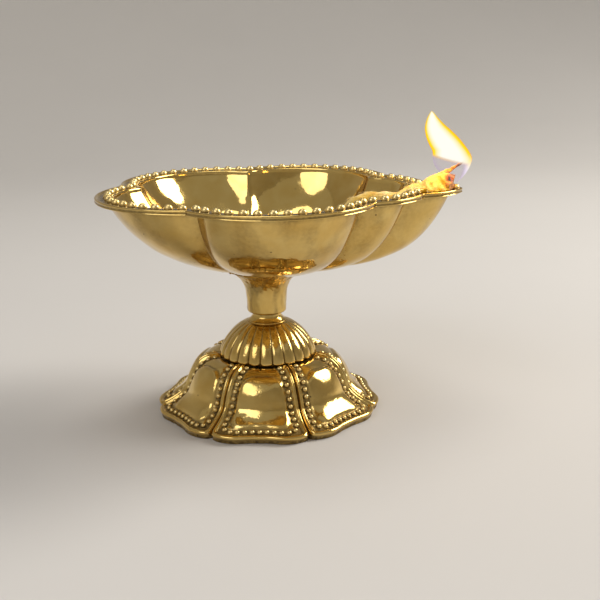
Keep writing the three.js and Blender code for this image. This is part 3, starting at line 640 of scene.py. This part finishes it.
def make_bowl():
    """The whole casting as one skin: from the middle of the floor up the inside, over the rounded inner
    edge, the bead seat, the hollow strip and the raised outer edge of the flange, back under it, down the
    outside and round the spigot."""
    angle = bowl_angles()
    cut = crease_cut(angle)
    inner = inset_radius(angle, FLANGE_WIDTH) - INNER_CREASE * cut
    outer = inset_radius(angle, FLANGE_OVERHANG) - OUTER_CREASE * cut
    rows, tarnish_and_shade, cast = [], [], []

    def add(row, dark=0.0, rough=0.0):
        rows.append(row)
        tarnish_and_shade.append(dark + 0 * angle)
        cast.append(rough + 0 * angle)

    for share in 1 - (1 - np.linspace(0.03, 1, 44)) ** 1.35:
        row = bowl_level(angle, inner, outer.mean(), share, BOWL_FLOOR_Z)
        row[:, 2] += 0.1 * (1 - smooth(0.9, 1, share)) * lumps(row, 10, 51)
        add(row, 0.2 * (1 - smooth(0.1, 0.35, share)))
    for inset, rise, crease, dark in FLANGE_LIP:
        depth = INNER_CREASE if inset > LIP_INSIDE else OUTER_CREASE
        add(about_axis(inset_radius(angle, inset) - depth * cut * crease, angle, RIM_Z + rise), dark)
    wall = 1 - 0.56 * np.linspace(0.002, 1, 42, endpoint=False) ** 1.35
    for share in np.concatenate([wall, np.linspace(0.44, 0.265, 24)]):
        row = bowl_level(angle, outer, outer.mean(), share, BOWL_SEAT_Z)
        near_stem = 1 - smooth(0.355, 0.4, share + 0.022 * lumps(row, 2.5, 54))
        rough = 0.13 * lumps(row, 2.6, 53) + 0.1 * lumps(row, 1.2, 55)
        row[:, 2] += 0.03 * lumps(row, 9, 52) * (1 - smooth(0.9, 1, share)) + rough * near_stem
        # Painted light on the outer wall: shade just under the flange, dark reflection as tall blotches, and
        # shade in the creases
        reflection_and_crease_shade = 0.2 * smooth(-0.2, 1.6, lumps(row * [1, 1, 0.35], 8, 56)) + 0.2 * np.minimum(cut, 1)
        add(row, 0.45 * smooth(0.985, 1, share) + 0.08 * smooth(0.75, 0.95, share) + reflection_and_crease_shade,
            np.maximum(0.75 * near_stem, 0.4 * np.minimum(cut, 1)))
    for radius, z in ((STEM_TOP_RADIUS + 0.3, BOWL_SEAT_Z + 0.25), (STEM_TOP_RADIUS + 0.1, BOWL_SEAT_Z),
                      (SPIGOT_RADIUS, BOWL_SEAT_Z), (SPIGOT_RADIUS, SPIGOT_FOOT_Z + SPIGOT_CHAMFER),
                      (SPIGOT_RADIUS - SPIGOT_CHAMFER, SPIGOT_FOOT_Z), (BORE_RADIUS, SPIGOT_FOOT_Z),
                      (BORE_RADIUS, SPIGOT_BORE_Z)):
        add(about_axis(radius, angle, z), 0.5, 1.0)
    shell = skin(np.array(rows), first=[0, 0, BOWL_FLOOR_Z], last=[0, 0, SPIGOT_BORE_Z])
    marks = {"tarnish_and_shade": np.append(tarnish_and_shade, [0.25, 0.5]), "cast": np.append(cast, [0, 1])}
    make_piece("bowl_casting", shell, "bowl", CAST, "bowl", marks)


def make_rim_beads():
    """Row of beads along the flange, evenly spaced along the curve 4.1 mm inside the edge, half a step each
    side of the spout's tip, and one more out at the tip. Each is an oval along the row, sunk below its
    middle."""
    angle = np.linspace(0, 2 * np.pi, 1441)
    row = about_axis(inset_radius(angle, BEAD_INSET), angle, RIM_Z + BEAD_RISE)
    length = lengths(row)
    centres = read_off(row, length, even_places(length[-1], BEAD_PITCH))
    alongs = unit(np.roll(centres, -1, 0) - np.roll(centres, 1, 0))
    centres[:, :2] += np.random.default_rng(5).normal(0, 0.06, (len(centres), 2))
    centres = np.vstack([centres, [*TIP_BEAD, RIM_Z + BEAD_RISE]])
    alongs = np.vstack([alongs, [0.0, 1.0, 0.0]])
    ups = np.tile([0.0, 0.0, 1.0], (len(centres), 1))
    size = (BEAD_LENGTH / 2, BEAD_WIDTH / 2, BEAD_HEIGHT)
    shell = bead_shell(centres, ups, alongs, size, columns=20, rings=11)
    # Lower part of each bead darkens: painted shade where it meets the flange, with some tarnish
    low = 1 - smooth(RIM_Z, RIM_Z + 0.5, shell[0][:, 2])
    make_piece("rim_beads", shell, "bowl", BEADED, marks={"tarnish_and_shade": 0.55 * low, "cast": 0.1})


# Stem

def make_stem():
    """Trumpet with a socket above for the spigot and a bore below for the stud. Its radius grows a tenth
    evenly and the rest as the 4.6th power of the height; the skin is as cast, lumpy by some hundredths."""
    share = np.linspace(0, 1, 46)
    flare = mix(STEM_FOOT_RADIUS, STEM_TOP_RADIUS, 0.1 * share + 0.9 * share ** STEM_POWER)
    z = mix(STEM_FOOT_Z + STEM_EDGE_HEIGHT, STEM_TOP_Z, share)
    foot = [(BORE_RADIUS, STEM_FOOT_Z)] + [(radius, STEM_FOOT_Z + rise) for radius, rise in STEM_EDGE]
    land = STEM_TOP_Z + STEM_LAND
    top = [(STEM_TOP_RADIUS - 0.3, land), (SOCKET_RADIUS, land), (SOCKET_RADIUS, SOCKET_Z),
           (BORE_RADIUS, SOCKET_Z)]
    rows = lathe(foot + list(zip(flare, z)) + top, 160)
    outside = rows[len(foot):-len(top)]
    amount = (0.03 + 0.05 * smooth(0.55, 1, share))[:, None]
    outside += unit(outside * [1, 1, 0]) * (amount * lumps(outside, 2.2, 11))[..., None]
    points, faces = skin(rows, closed_ends=True)
    z = points[:, 2]
    # Darker tall streaks are painted dark reflection; the darkening at the foot and the top is painted shade
    # where the stem meets the dome and the bowl
    streak = 0.3 * smooth(0.0, 1.2, lumps(points * [1, 1, 0.18], 3.0, 12))
    joint = 0.5 * (1 - smooth(STEM_FOOT_Z, STEM_FOOT_Z + 0.35, z))
    tarnish_and_shade = 0.08 + streak + joint + 0.2 * smooth(STEM_TOP_Z - 1, STEM_TOP_Z, z)
    make_piece("stem_casting", (points, faces), "bowl", CAST, "stem",
               {"tarnish_and_shade": tarnish_and_shade, "cast": 0.05 + 0.5 * smooth(43, 47.5, z)})


def make_brazed_seam():
    """Fillet of brazing metal where the stem meets the bowl: a ring whose section is a flat lump, with a
    radius and thickness that wander by a few tenths."""
    around, section = turns(240), turns(14)[:, None]
    circle = about_axis(STEM_TOP_RADIUS, around, 0)
    swell = 1 + 0.25 * lumps(circle, 2.4, 22)
    wide, high = (half * swell for half in SEAM_HALF_SIZE)
    radius = STEM_TOP_RADIUS + 0.25 * lumps(circle, 5.0, 21) + np.cos(section) * wide
    rows = about_axis(radius, around, BOWL_SEAT_Z + np.sin(section) * high)
    points, faces = skin(rows, closed_ends=True)
    points[:, 2] += 0.05 * lumps(points, 1.2, 23)
    make_piece("brazed_seam", (points, faces), "bowl", CAST,
               marks={"tarnish_and_shade": 0.1, "cast": 0.7})


# Dome

def make_dome():
    """Hollow dome with a collar. Outside, the section follows a power curve of 1.5 and each of the 24
    flutes is a round rib: the groove's depth times one less the root of one less the square of the place
    across the rib."""
    angle = turns(FLUTES * FLUTE_COLUMNS)
    across = (np.arange(len(angle)) / FLUTE_COLUMNS % 1) * 2 - 1
    rib = 1 - np.sqrt(1 - 0.985 * across ** 2)
    rows, tarnish_and_shade = [], []

    def add(radius, z, depth=0.0, lift=0.0, dark=0.0):
        rows.append(about_axis(radius - depth * rib, angle, z + lift * rib))
        # Darker in the flutes' grooves: tarnish and painted shade
        tarnish_and_shade.append(dark + smooth(0.25, 0.8, rib) * min(1.0, depth / 0.5) * 0.85)

    vault, vault_z = DOME_SEAT_RADIUS - DOME_WALL, COLLAR_FOOT_Z - DOME_WALL
    add(vault, DOME_SEAT_Z, dark=0.5)
    add(DOME_SEAT_RADIUS - 0.4, DOME_SEAT_Z, dark=0.5)
    add(DOME_SEAT_RADIUS, DOME_EDGE_Z - 0.35, 0.1, dark=0.5)
    # The edge's underside darkens as painted shade
    for turn in np.linspace(0.0, 1.0, 8):
        push, drop = math.sin(turn * math.pi / 2), math.cos(turn * math.pi / 2)
        add(DOME_SEAT_RADIUS + 0.2 + 0.8 * push, DOME_EDGE_Z + 0.35 - 0.65 * drop,
            FLUTE_DEPTH * (0.3 + 0.7 * push), FLUTE_LIFT, 0.3 * (1 - turn))
    for share in np.linspace(0.05, 0.985, 40) ** 0.9:
        reach = (1 - share ** DOME_POWER) ** (1 / DOME_POWER)
        depth = FLUTE_DEPTH * (1 - 0.7 * share) * (1 - smooth(0.93, 1.0, share))
        add(mix(COLLAR_FOOT_RADIUS, DOME_EDGE_RADIUS, reach), mix(DOME_EDGE_Z, COLLAR_FOOT_Z, share), depth,
            FLUTE_LIFT * (1 - smooth(0.0, 0.12, share)))
    for radius, z in COLLAR_RING:
        add(radius, z, dark=0.15)
    # The collar's top darkens as painted shade under the stem
    for share in np.linspace(0.05, 1, 14):
        add(mix(COLLAR_RADIUS, COLLAR_NECK[0], (1 - share) ** 2.2),
            mix(COLLAR_NECK[1], COLLAR_TOP_Z - COLLAR_CHAMFER, share), dark=0.5 * smooth(0.7, 1, share))
    add(COLLAR_RADIUS - COLLAR_CHAMFER, COLLAR_TOP_Z, dark=0.5)
    add(BORE_RADIUS, COLLAR_TOP_Z, dark=0.5)
    add(BORE_RADIUS, vault_z, dark=0.7)
    for share in np.linspace(0.97, 0.03, 14):
        reach = (1 - share ** DOME_POWER) ** (1 / DOME_POWER)
        add(mix(BORE_RADIUS, vault, reach), mix(DOME_SEAT_Z, vault_z, share), dark=0.7)
    shell = skin(np.array(rows), closed_ends=True)
    make_piece("dome_casting", shell, "base", RELIEF, "dome",
               {"tarnish_and_shade": np.clip(np.concatenate(tarnish_and_shade), 0, 1), "cast": 0.12}, sharp=60)


# Foot

FOOT_SIDE = curve_through(FOOT_PROFILE, 400)
FOOT_LENGTH = np.linalg.norm(np.diff(FOOT_SIDE, axis=0), axis=1).sum()
FOOT_ALONG = np.linspace(0, FOOT_LENGTH, len(FOOT_SIDE))
FOOT_NORMAL = unit(np.gradient(FOOT_SIDE, axis=0)[:, ::-1] * [-1, 1])


def foot_edge(offset):
    """Outer edge's radius at an angle from a petal's middle: it swells to the petal's rounded corners and
    falls as a power curve to the notch."""
    share = np.abs(offset) / HALF_PETAL
    corner = FOOT_CORNER_ANGLE / HALF_PETAL
    swell = mix(FOOT_MID_RADIUS, FOOT_CORNER_RADIUS, smooth(0.15, 1, share / corner))
    fall = np.clip((share - corner) / (1 - corner), 0, 1)
    drop = FOOT_NOTCH_RADIUS + (FOOT_CORNER_RADIUS - FOOT_NOTCH_RADIUS) * np.sqrt(1 - fall ** 2.5)
    return np.where(share < corner, swell, drop)


def rounded_corner(a, b, corner):
    """Distance in from two crossing edges whose corner is rounded: beyond the rounding's centre on both
    sides it is the corner's radius less the distance from that centre, and elsewhere the smaller of a and
    b."""
    out_a, out_b = np.maximum(corner - a, 0), np.maximum(corner - b, 0)
    return np.where((out_a > 0) & (out_b > 0), corner - np.hypot(out_a, out_b), np.minimum(a, b))


def foot_height(side, bottom, top):
    """Relief of a petal over its plain side, from the distances to its side line, lower edge and upper end:
    groove between petals, half-round border, bead channel and puffed panel with a rounded shoulder."""
    border = rounded_corner(side, bottom, RIDGE_CORNER)
    ridge = np.sqrt(np.clip(1 - ((border - RIDGE_FROM_EDGE) / RIDGE_HALF_WIDTH) ** 2, 0, 1))
    groove = np.exp(-(side / GROOVE_WIDTH) ** 2)
    channel = smooth(1.7, 2.1, border) * (1 - smooth(3.9, 4.3, border))
    height = (RIDGE_HEIGHT * ridge - GROOVE_DEPTH * groove - CHANNEL_DEPTH * channel) * smooth(0.3, 3.5, top)
    inner, outer = PANEL_FROM_EDGE
    panel = np.minimum(rounded_corner(side - inner, bottom - inner, PANEL_CORNER),
                       rounded_corner(side - inner, top - PANEL_TOP, PANEL_CORNER))
    rise = np.sin(np.clip(panel / (outer - inner), 0, 1) * np.pi / 2)
    return height + PANEL_PUFF * (0.62 * rise + 0.38 * smooth(0, 7, panel)), border, panel


def foot_angle(petal, offset):
    """Angle about the axis, from a petal's number and the degrees from its middle: petal 0 faces -Y, but for
    the foot's small turn."""
    return np.radians(-90 + PETAL_TURN + petal * 2 * HALF_PETAL + offset)


def foot_point(petal, offset, along):
    """Point of the foot's outside: the side's profile at a distance along it, pushed along its normal by
    the relief, widened to the wavy outer edge, and turned to the petal and the offset from its middle."""
    radius, z = read_off(FOOT_SIDE, FOOT_ALONG, along).T
    normal = read_off(FOOT_NORMAL, FOOT_ALONG, along).T
    side = np.radians(HALF_PETAL - np.abs(offset)) * radius
    height, border, panel = foot_height(side, FOOT_LENGTH - along + EDGE_SHIFT, along)
    widen = smooth(FOOT_SHOULDER_RADIUS, FOOT_SIDE[-1, 0], radius)
    reach = radius + (foot_edge(offset) - FOOT_MID_RADIUS) * widen + normal[0] * height
    return about_axis(reach, foot_angle(petal, offset), z + normal[1] * height), border, panel


def make_foot():
    """Seven petals as one skin: outside as foot_point gives it, then the rolled edge, the flat ground ring
    and the plain inside up to the plate with its bore."""
    even = np.linspace(0, 1, 30, endpoint=False)
    bunch = mix(even, np.sin(even * np.pi / 2), 0.72)
    offset = HALF_PETAL * np.concatenate([-np.ones(1), -bunch[:0:-1], bunch])
    petal = np.repeat(np.arange(PETALS), len(offset))
    offset = np.tile(offset, PETALS)
    along = np.concatenate([np.linspace(0, FOOT_LENGTH - 7, 62, endpoint=False),
                            np.linspace(FOOT_LENGTH - 7, FOOT_LENGTH, 30)])
    rows, tarnish_and_shade = [], []
    for distance in along:
        row, border, panel = foot_point(petal, offset, np.full(len(offset), distance))
        rows.append(row)
        # Darkening in the bead channel, along the panel's foot and in the grooves: tarnish and painted shade
        channel = smooth(1.5, 1.9, border) * (1 - smooth(3.9, 4.5, border))
        foot_of_panel = np.exp(-((panel + 0.1) / 0.35) ** 2)
        groove = 1 - smooth(0.0, 0.35, border)
        shade = np.maximum(np.maximum(channel * 0.75, foot_of_panel * 0.6), groove * 0.95)
        # Painted shadow under the dome's overhanging edge
        under_dome = 0.5 * (1 - smooth(0.8, 2.6, distance))
        tarnish_and_shade.append(np.maximum(shade * smooth(0.5, 3.0, distance), under_dome))
    angle = foot_angle(petal, offset)
    notch = 0.8 * np.exp(-(np.radians(HALF_PETAL - np.abs(offset)) * FOOT_NOTCH_RADIUS / 0.5) ** 2)
    waves = foot_edge(offset) - FOOT_MID_RADIUS - notch

    def add(radius, z, widen, dark):
        rows.append(about_axis(radius + waves * widen, angle, z))
        tarnish_and_shade.append(np.full(len(angle), dark))

    for inset, z in FOOT_ROLL:
        # The lower band of the rolled edge darkens: painted shade under the border and painted dark
        # reflection
        add(FOOT_MID_RADIUS - inset, z, 1.0, 0.75 * (1 - smooth(0.9, 1.9, z)))
    add(FOOT_MID_RADIUS - FOOT_RING, 0.0, 1.0, 0.5)
    for radius, z, widen in FOOT_INSIDE:
        add(radius, z, widen, 0.75)
    tarnish_and_shade = np.clip(np.concatenate(tarnish_and_shade), 0, 1)
    shell = skin(np.array(rows), closed_ends=True)
    make_piece("foot_casting", shell, "base", RELIEF, "petal_foot",
               {"tarnish_and_shade": tarnish_and_shade, "cast": 0.06 + 0.7 * (tarnish_and_shade > 0.7)}, sharp=55)


def bead_path():
    """The row of beads on one petal as offset and distance along the side: down one side 3 mm from the
    petal's line, round the corner as a quarter circle, along the lower edge, and the same mirrored."""
    low = FOOT_LENGTH + EDGE_SHIFT - CHANNEL_FROM_EDGE
    along = np.linspace(FOOT_BEAD_TOP, low - FOOT_BEAD_CORNER, 60)
    radius = np.interp(np.append(along, low), FOOT_ALONG, FOOT_SIDE[:, 0])
    side = HALF_PETAL - np.degrees(CHANNEL_FROM_EDGE / radius[:-1])
    turn = np.linspace(0.1, 1, 10) * np.pi / 2
    corner = side[-1] - np.degrees(FOOT_BEAD_CORNER * (1 - np.cos(turn)) / radius[-1])
    half = np.stack([np.concatenate([side, corner, [0.0]]),
                     np.concatenate([along, low - FOOT_BEAD_CORNER * (1 - np.sin(turn)), [low]])], 1)
    path = np.vstack([half * [-1, 1], half[-2::-1]])
    return read_off(path, np.linspace(0, 1, len(path)), np.linspace(0, 1, 900))


def make_foot_beads():
    """Beads in each petal's channel, evenly spaced along one U. Each stands on the surface along its
    normal, which is square to two short steps across and down."""
    path = bead_path()
    step = 0.02
    centres, ups, alongs = [], [], []
    for petal in range(PETALS):
        length = lengths(foot_point(petal, *path.T)[0])
        offset, along = read_off(path, length, even_places(length[-1], FOOT_BEAD_PITCH)).T
        centre = foot_point(petal, offset, along)[0]
        across = foot_point(petal, offset + np.degrees(step / 30), along)[0] - centre
        down = foot_point(petal, offset, along + step)[0] - centre
        up = unit(np.cross(down, across))
        way = np.gradient(centre, axis=0)
        alongs.append(unit(way - (way * up).sum(1)[:, None] * up))
        centres.append(centre + up * 0.15)
        ups.append(up)
    centres, ups, alongs = np.vstack(centres), np.vstack(ups), np.vstack(alongs)
    shell = bead_shell(centres, ups, alongs, (FOOT_BEAD_RADIUS,) * 3, columns=10, rings=5)
    # Lower part of each bead darkens: painted shade where it meets the channel, with some tarnish
    away = ((shell[0].reshape(len(centres), -1, 3) - centres[:, None]) * ups[:, None]).sum(-1).ravel()
    make_piece("foot_beads", shell, "base", BEADED,
               marks={"tarnish_and_shade": 0.85 * (1 - smooth(-0.1, 0.5, away)), "cast": 0.25})


# Stud, washer and nut

def make_stud():
    """Threaded stud: along each column the radius falls to the root and rises to the crest once every
    millimetre, a step further round for each column, so the thread climbs as a helix; both ends are
    chamfered."""
    rows_per_turn = 8
    z = np.linspace(STUD_FOOT_Z, STUD_TOP_Z, int((STUD_TOP_Z - STUD_FOOT_Z) * rows_per_turn) + 1)[:, None]
    angle = turns(36)
    phase = (z / THREAD_PITCH - angle / (2 * np.pi)) % 1
    radius = STUD_RADIUS - THREAD_DEPTH * (1 - np.abs(2 * phase - 1))
    radius = np.minimum(radius, STUD_END[0] + STUD_END[1] * np.minimum(z - STUD_FOOT_Z, STUD_TOP_Z - z))
    points, faces = skin(about_axis(radius, angle, z), first=[0, 0, STUD_FOOT_Z], last=[0, 0, STUD_TOP_Z])
    root = 1 - smooth(2.58, 2.75, np.hypot(points[:, 0], points[:, 1]))
    make_piece("threaded_stud", (points, faces), "stud", TURNED, "tie_stud",
               {"tarnish_and_shade": 0.6 * root, "cast": 0.1 * root}, sharp=50)


def make_washer():
    """Flat washer with a punched, slightly rounded upper edge."""
    low, high = WASHER_Z
    profile = [(BORE_RADIUS, low), (WASHER_RADIUS - 0.2, low), (WASHER_RADIUS, low + 0.25),
               (WASHER_RADIUS, high - 0.12), (WASHER_RADIUS - 0.1, high), (BORE_RADIUS, high)]
    shell = skin(lathe(profile, 72), closed_ends=True)
    make_piece("plain_washer", shell, "base", PLAIN, "washer", {"tarnish_and_shade": 0.3, "cast": 0.3})


def make_nut():
    """Hexagon nut: at each angle the radius is the hexagon's, cut back near both ends by a cone, which
    gives the curved chamfer lines across the corners."""
    low, high = NUT_Z
    angle = turns(96)
    flat = (angle + np.pi / 6) % (np.pi / 3) - np.pi / 6
    hexagon = NUT_FLATS / 2 / np.cos(np.pi / 6 - np.abs(flat))
    side_z = np.linspace(low, high, 31)
    cone = NUT_CONE[0] + NUT_CONE[1] * np.minimum(side_z - low, high - side_z)
    wide = BORE_RADIUS + NUT_CHAMFER
    radius = [wide + 0 * angle, NUT_FACE_RADIUS + 0 * angle, *np.minimum(hexagon, cone[:, None])]
    radius += [each + 0 * angle for each in (NUT_FACE_RADIUS, wide, BORE_RADIUS, BORE_RADIUS)]
    z = np.concatenate([[low, low], side_z, [high, high, high - NUT_CHAMFER, low + NUT_CHAMFER]])
    shell = skin(about_axis(np.array(radius), angle, z[:, None]), closed_ends=True)
    make_piece("hexagon_nut", shell, "base", PLAIN, "nut",
               {"tarnish_and_shade": 0.2, "cast": 0.25}, sharp=30)


# Wick and flame

def carried(route, radius):
    """Sections carried along a route in the XZ plane: at each point a ring across it, whose radius is given
    for each ring and column. Returns the rows and each row's distance along the route."""
    slope = unit(np.gradient(route, axis=0))
    angle = turns(radius.shape[1])
    across, rise = radius * np.cos(angle), radius * np.sin(angle)
    rows = np.stack([route[:, :1] - slope[:, 1:] * rise, across, route[:, 1:] + slope[:, :1] * rise], -1)
    return rows, lengths(route)


def with_fibre_map(piece, around, along):
    """UV map for the fibres, so that the pattern follows the roll: steps round it and steps along it."""
    layer = piece.data.uv_layers.new(name="along")
    index = np.zeros(len(piece.data.loops), np.int32)
    piece.data.loops.foreach_get("vertex_index", index)
    layer.data.foreach_set("uv", np.stack([around[index], along[index]], 1).astype(np.float32).ravel())


def lit_by_flame(points):
    """How much of the flame's light comes through: a fifth everywhere, and up to nine tenths near the
    flame."""
    return 0.2 + 0.7 * smooth(*WICK_LIT_X, points[:, 0])


def make_wick():
    """Roll of cotton: a circle carried along the wick's route, its radius made of two twisted strands,
    lumps 6 mm long and fine fibres, drawn in towards its lower end. Over the spout the roll is teased out
    sideways: each point's distance from the middle grows by the spread's factor and its height goes to the
    spread's height as the square of the cosine round the section. The end in the flame is frayed and burnt.
    The fibres' map has steps of 0.25 mm round the roll and 2.5 mm along it, and turns with the strands."""
    count, columns = 240, 96
    route = curve_through(WICK_ROUTE, count)
    angle = turns(columns)
    rows, length = carried(route, np.full((count, columns), WICK_RADIUS))
    twist = length / WICK_TWIST * 2 * np.pi
    strand = 0.09 * np.abs(np.cos(angle + twist[:, None])) - 0.06
    shape = 1 + strand + 0.07 * lumps(rows, 6.0, 31) + 0.04 * lumps(rows * [0.4, 1, 1], 1.3, 32)
    ends = smooth(-1.2, 2.2, length) * (1 - 0.25 * smooth(length[-1] - 1.6, length[-1], length))
    rows = carried(route, WICK_RADIUS * shape * ends[:, None])[0]
    x = route[:, :1]
    places, near, far = np.array(WICK_SPREAD).T
    wider = np.where(rows[..., 1] < 0, np.interp(x, places, near), np.interp(x, places, far))
    over = smooth(*WICK_SPREAD_X, x)
    rows[..., 2] += over * (WICK_SPREAD_Z - route[:, 1:]) * np.cos(angle) ** 2
    rows[..., 1] *= wider * (1 + over * 0.1 * lumps(rows * [1, 0.2, 1], 2.5, 35))
    rows[-6:, :, 0] += np.linspace(0, 0.35, 6)[:, None] * lumps(rows[-6:] * [0, 1, 1], 1.5, 33)
    points, faces = skin(rows, first=rows[0].mean(0) - [0.3, 0, 0.2], last=rows[-1].mean(0) + [0.1, 0, 0])
    reach = np.append(np.repeat(length, columns), [0, length[-1]])
    burn = 0.62 * smooth(length[-1] - 4.5, length[-1] + 0.5, reach + 1.0 * lumps(points, 2.5, 34))
    glow = 1.2 * np.exp(-((points - EMBER) ** 2).sum(1) / EMBER_SPREAD)
    marks = {"burn": np.maximum(burn, glow), "ember": glow, "lit": lit_by_flame(points)}
    piece = make_piece("cotton_wick", (points, faces), "wick", COTTON, "wick", marks, sharp=80)
    around = (angle + twist[:, None]).ravel() * WICK_RADIUS / FIBRE_WIDTH
    with_fibre_map(piece, np.append(around, [0, 0]), reach / (10 * FIBRE_WIDTH))
    return rows


def make_thread():
    """Burnt thread that stands off the end of the wick: a tapering, wandering cone of ash-black fibre."""
    count, columns = 40, 16
    route = curve_through(THREAD_ROUTE, count)
    taper = np.linspace(*THREAD_RADII, count)[:, None] * np.ones(columns)
    rows, length = carried(route, taper)
    rows = carried(route, taper * (1 + 0.2 * lumps(rows, 1.6, 41)))[0]
    (first_x, first_z), (last_x, last_z) = route[0], route[-1]
    shell = skin(rows, first=[first_x, 0, first_z], last=[last_x + 0.1, 0, last_z])
    reach = np.append(np.repeat(length, columns), [0, length[-1]])
    marks = {"burn": 0.15 + 0.75 * reach / length[-1], "lit": 0.9, "ember": 0.8 * np.exp(reach - length[-1])}
    piece = make_piece("burnt_thread", shell, "wick", COTTON, marks=marks, sharp=80)
    around = np.append(np.tile(np.arange(columns) / columns * 12, count), [0, 0])
    with_fibre_map(piece, around, reach / 1.5)


def make_fibres(rows):
    """Loose cotton fibres on the roll, given its rows of points: thin tapering hairs, 0.12 mm thick, that
    leave its upper side and bend along it. Each is a three-sided tube over a bent path."""
    draw = np.random.default_rng(7)
    ahead = np.gradient(rows, axis=0)
    out = np.cross(ahead, np.roll(rows, -1, 1) - np.roll(rows, 1, 1))
    out = unit(out * np.sign((out * (rows - rows.mean(1, keepdims=True))).sum(-1, keepdims=True)))
    ahead = unit(ahead)
    count, columns = rows.shape[:2]
    t = np.linspace(0, 1, 6)[:, None]
    thick = FIBRE_RADIUS * (1 - 0.75 * t)
    shells, burns = [], []
    for _ in range(FIBRE_COUNT):
        i = int(draw.uniform(0.12, 0.985) * (count - 1))
        j = int(draw.uniform(-0.02, 0.52) * columns) % columns
        base, up, way = rows[i, j], out[i, j], ahead[i, j] * draw.choice([-1, 1])
        aside = np.cross(way, up)
        length, lift, sway = draw.uniform(1.2, 3.6), draw.uniform(0.05, 0.4), draw.normal(0, 0.8)
        path = base + way * length * t + up * (lift * np.sin(t * 2.6) - 0.1) + aside * sway * t ** 2
        ring = [path + thick * (math.cos(a) * up + math.sin(a) * aside) for a in (0, 2.1, 4.2)]
        shells.append(skin(np.stack(ring, 1), first=path[0], last=path[-1]))
        burns += [float(smooth(0.9, 1.0, i / count))] * len(shells[-1][0])
    points, faces = together(shells)
    marks = {"burn": burns, "ember": 0.0, "lit": lit_by_flame(points)}
    piece = make_piece("cotton_fibres", (points, faces), "wick", COTTON, marks=marks, sharp=80)
    middle = np.full(len(points), 0.6)
    with_fibre_map(piece, middle, middle)


def make_flame():
    """Body of light: at each height an oval between the outline's left and right edges, 0.72 as deep as it
    is wide, on smooth curves through the measured outline."""
    outline = [(z, (left + right) / 2, (right - left) / 2) for z, left, right in FLAME_OUTLINE]
    levels = curve_through(outline + [(FLAME_TIP[1], FLAME_TIP[0], 0.02)], 72)[:-1]
    angle = turns(40)
    z, middle, half = (levels[:, k:k + 1] for k in range(3))
    rows = np.stack(np.broadcast_arrays(middle + half * np.cos(angle),
                                        half * FLAME_DEPTH_SHARE * np.sin(angle), z), -1)
    points, faces = skin(rows, first=[FLAME_FOOT[0], 0, FLAME_FOOT[1]], last=[FLAME_TIP[0], 0, FLAME_TIP[1]])
    x, z = points[:, 0], points[:, 2]
    lower_edge = FLAME_BODY[1] + FLAME_BODY[2] * (x - FLAME_BODY[0])
    bright = smooth(lower_edge - 0.8, lower_edge + 0.9, z)
    right = np.append(np.tile(smooth(0.6, 0.95, np.cos(angle)), len(rows)), [0.5, 1])
    streak = right * mix(0.25, 1.0, smooth(79.5, 85.5, z))
    piece = make_piece("flame_light", (points, faces), "wick", FLAME, "flame",
                       {"glow": np.maximum(bright, streak), "height": smooth(82, 88.5, z)}, sharp=80)
    piece.visible_shadow = False


make_bowl()
make_rim_beads()
make_stem()
make_brazed_seam()
make_dome()
make_foot()
make_foot_beads()
make_stud()
make_washer()
make_nut()
wick_rows = make_wick()
make_thread()
make_fibres(wick_rows)
make_flame()


# Floor, world and lamps

def make_floor():
    """Pale painted cove round the lamp: a flat floor that turns up in a wide curve into a round wall."""
    turn = np.linspace(0, np.pi / 2, 17)
    reach = np.concatenate([[0.3, 0.6], COVE_FLOOR + COVE_CURVE * np.sin(turn), [COVE_FLOOR + COVE_CURVE]])
    height = np.concatenate([[0, 0], COVE_CURVE * (1 - np.cos(turn)), [COVE_HEIGHT]])
    points, faces = skin(about_axis(reach[:, None], turns(128), height[:, None]), first=[0, 0, 0])
    mesh = bpy.data.meshes.new("floor")
    mesh.from_pydata(points.tolist(), [], faces)
    mesh.polygons.foreach_set("use_smooth", np.ones(len(faces), bool))
    material, tree = new_material("pale painted board")
    place = node(tree, "TexCoord", out="Object")
    mottle = node(tree, "TexNoise", {"Vector": place, "Scale": 1 / (150 * MM), "Detail": 3.0})
    colour = node(tree, "Mix", (mottle, linear("#D6D2CC"), linear("#D1CDC7")), data_type="RGBA")
    shader = node(tree, "BsdfPrincipled", {"Base Color": colour, "Roughness": 0.7,
                                           "Specular IOR Level": 0.2})
    node(tree, "OutputMaterial", (shader,))
    mesh.materials.append(material)
    floor = bpy.data.objects.new("floor", mesh)
    bpy.context.scene.collection.objects.link(floor)


def make_world():
    """Soft grey room above the cove."""
    world = bpy.data.worlds.new("studio")
    bpy.context.scene.world = world
    world.use_nodes = True
    world.node_tree.nodes.clear()
    back = node(world.node_tree, "Background", {"Color": linear("#A3A19E"), "Strength": 1.0})
    node(world.node_tree, "OutputWorld", (back,))


def make_lamp(name, place, size, watts, colour):
    """Oval soft lamp of a width and height in metres, at a place and facing the middle of the lamp."""
    data = bpy.data.lights.new(name, "AREA")
    data.shape = "ELLIPSE"
    data.size, data.size_y = size
    data.energy = watts
    data.color = linear(colour)[:3]
    data.spread = math.radians(LAMP_SPREAD)
    lamp = bpy.data.objects.new(name, data)
    lamp.location = place
    x, y, z = np.array(place) - np.array(LAMP_AIM)
    lamp.rotation_euler = (math.atan2(math.hypot(x, y), z), 0, math.atan2(y, x) + math.pi / 2)
    lamp.visible_camera = False
    bpy.context.scene.collection.objects.link(lamp)


def make_lamps():
    """Key from the right and a little behind, as in the photograph, a weak fill from the left front, a wide
    soft one overhead, and the flame's own warm light."""
    for lamp in LAMPS:
        make_lamp(*lamp)
    data = bpy.data.lights.new("flame glow", "POINT")
    data.energy = FLAME_WATTS
    data.color = linear("#FFCE70")[:3]
    data.shadow_soft_size = FLAME_LIGHT_RADIUS
    lamp = bpy.data.objects.new("flame glow", data)
    lamp.location = (AXIS_X + FLAME_LIGHT[0], 0, FLAME_LIGHT[1])
    bpy.context.scene.collection.objects.link(lamp)


make_floor()
make_world()
make_lamps()
bpy.context.scene.view_settings.view_transform = "Standard"
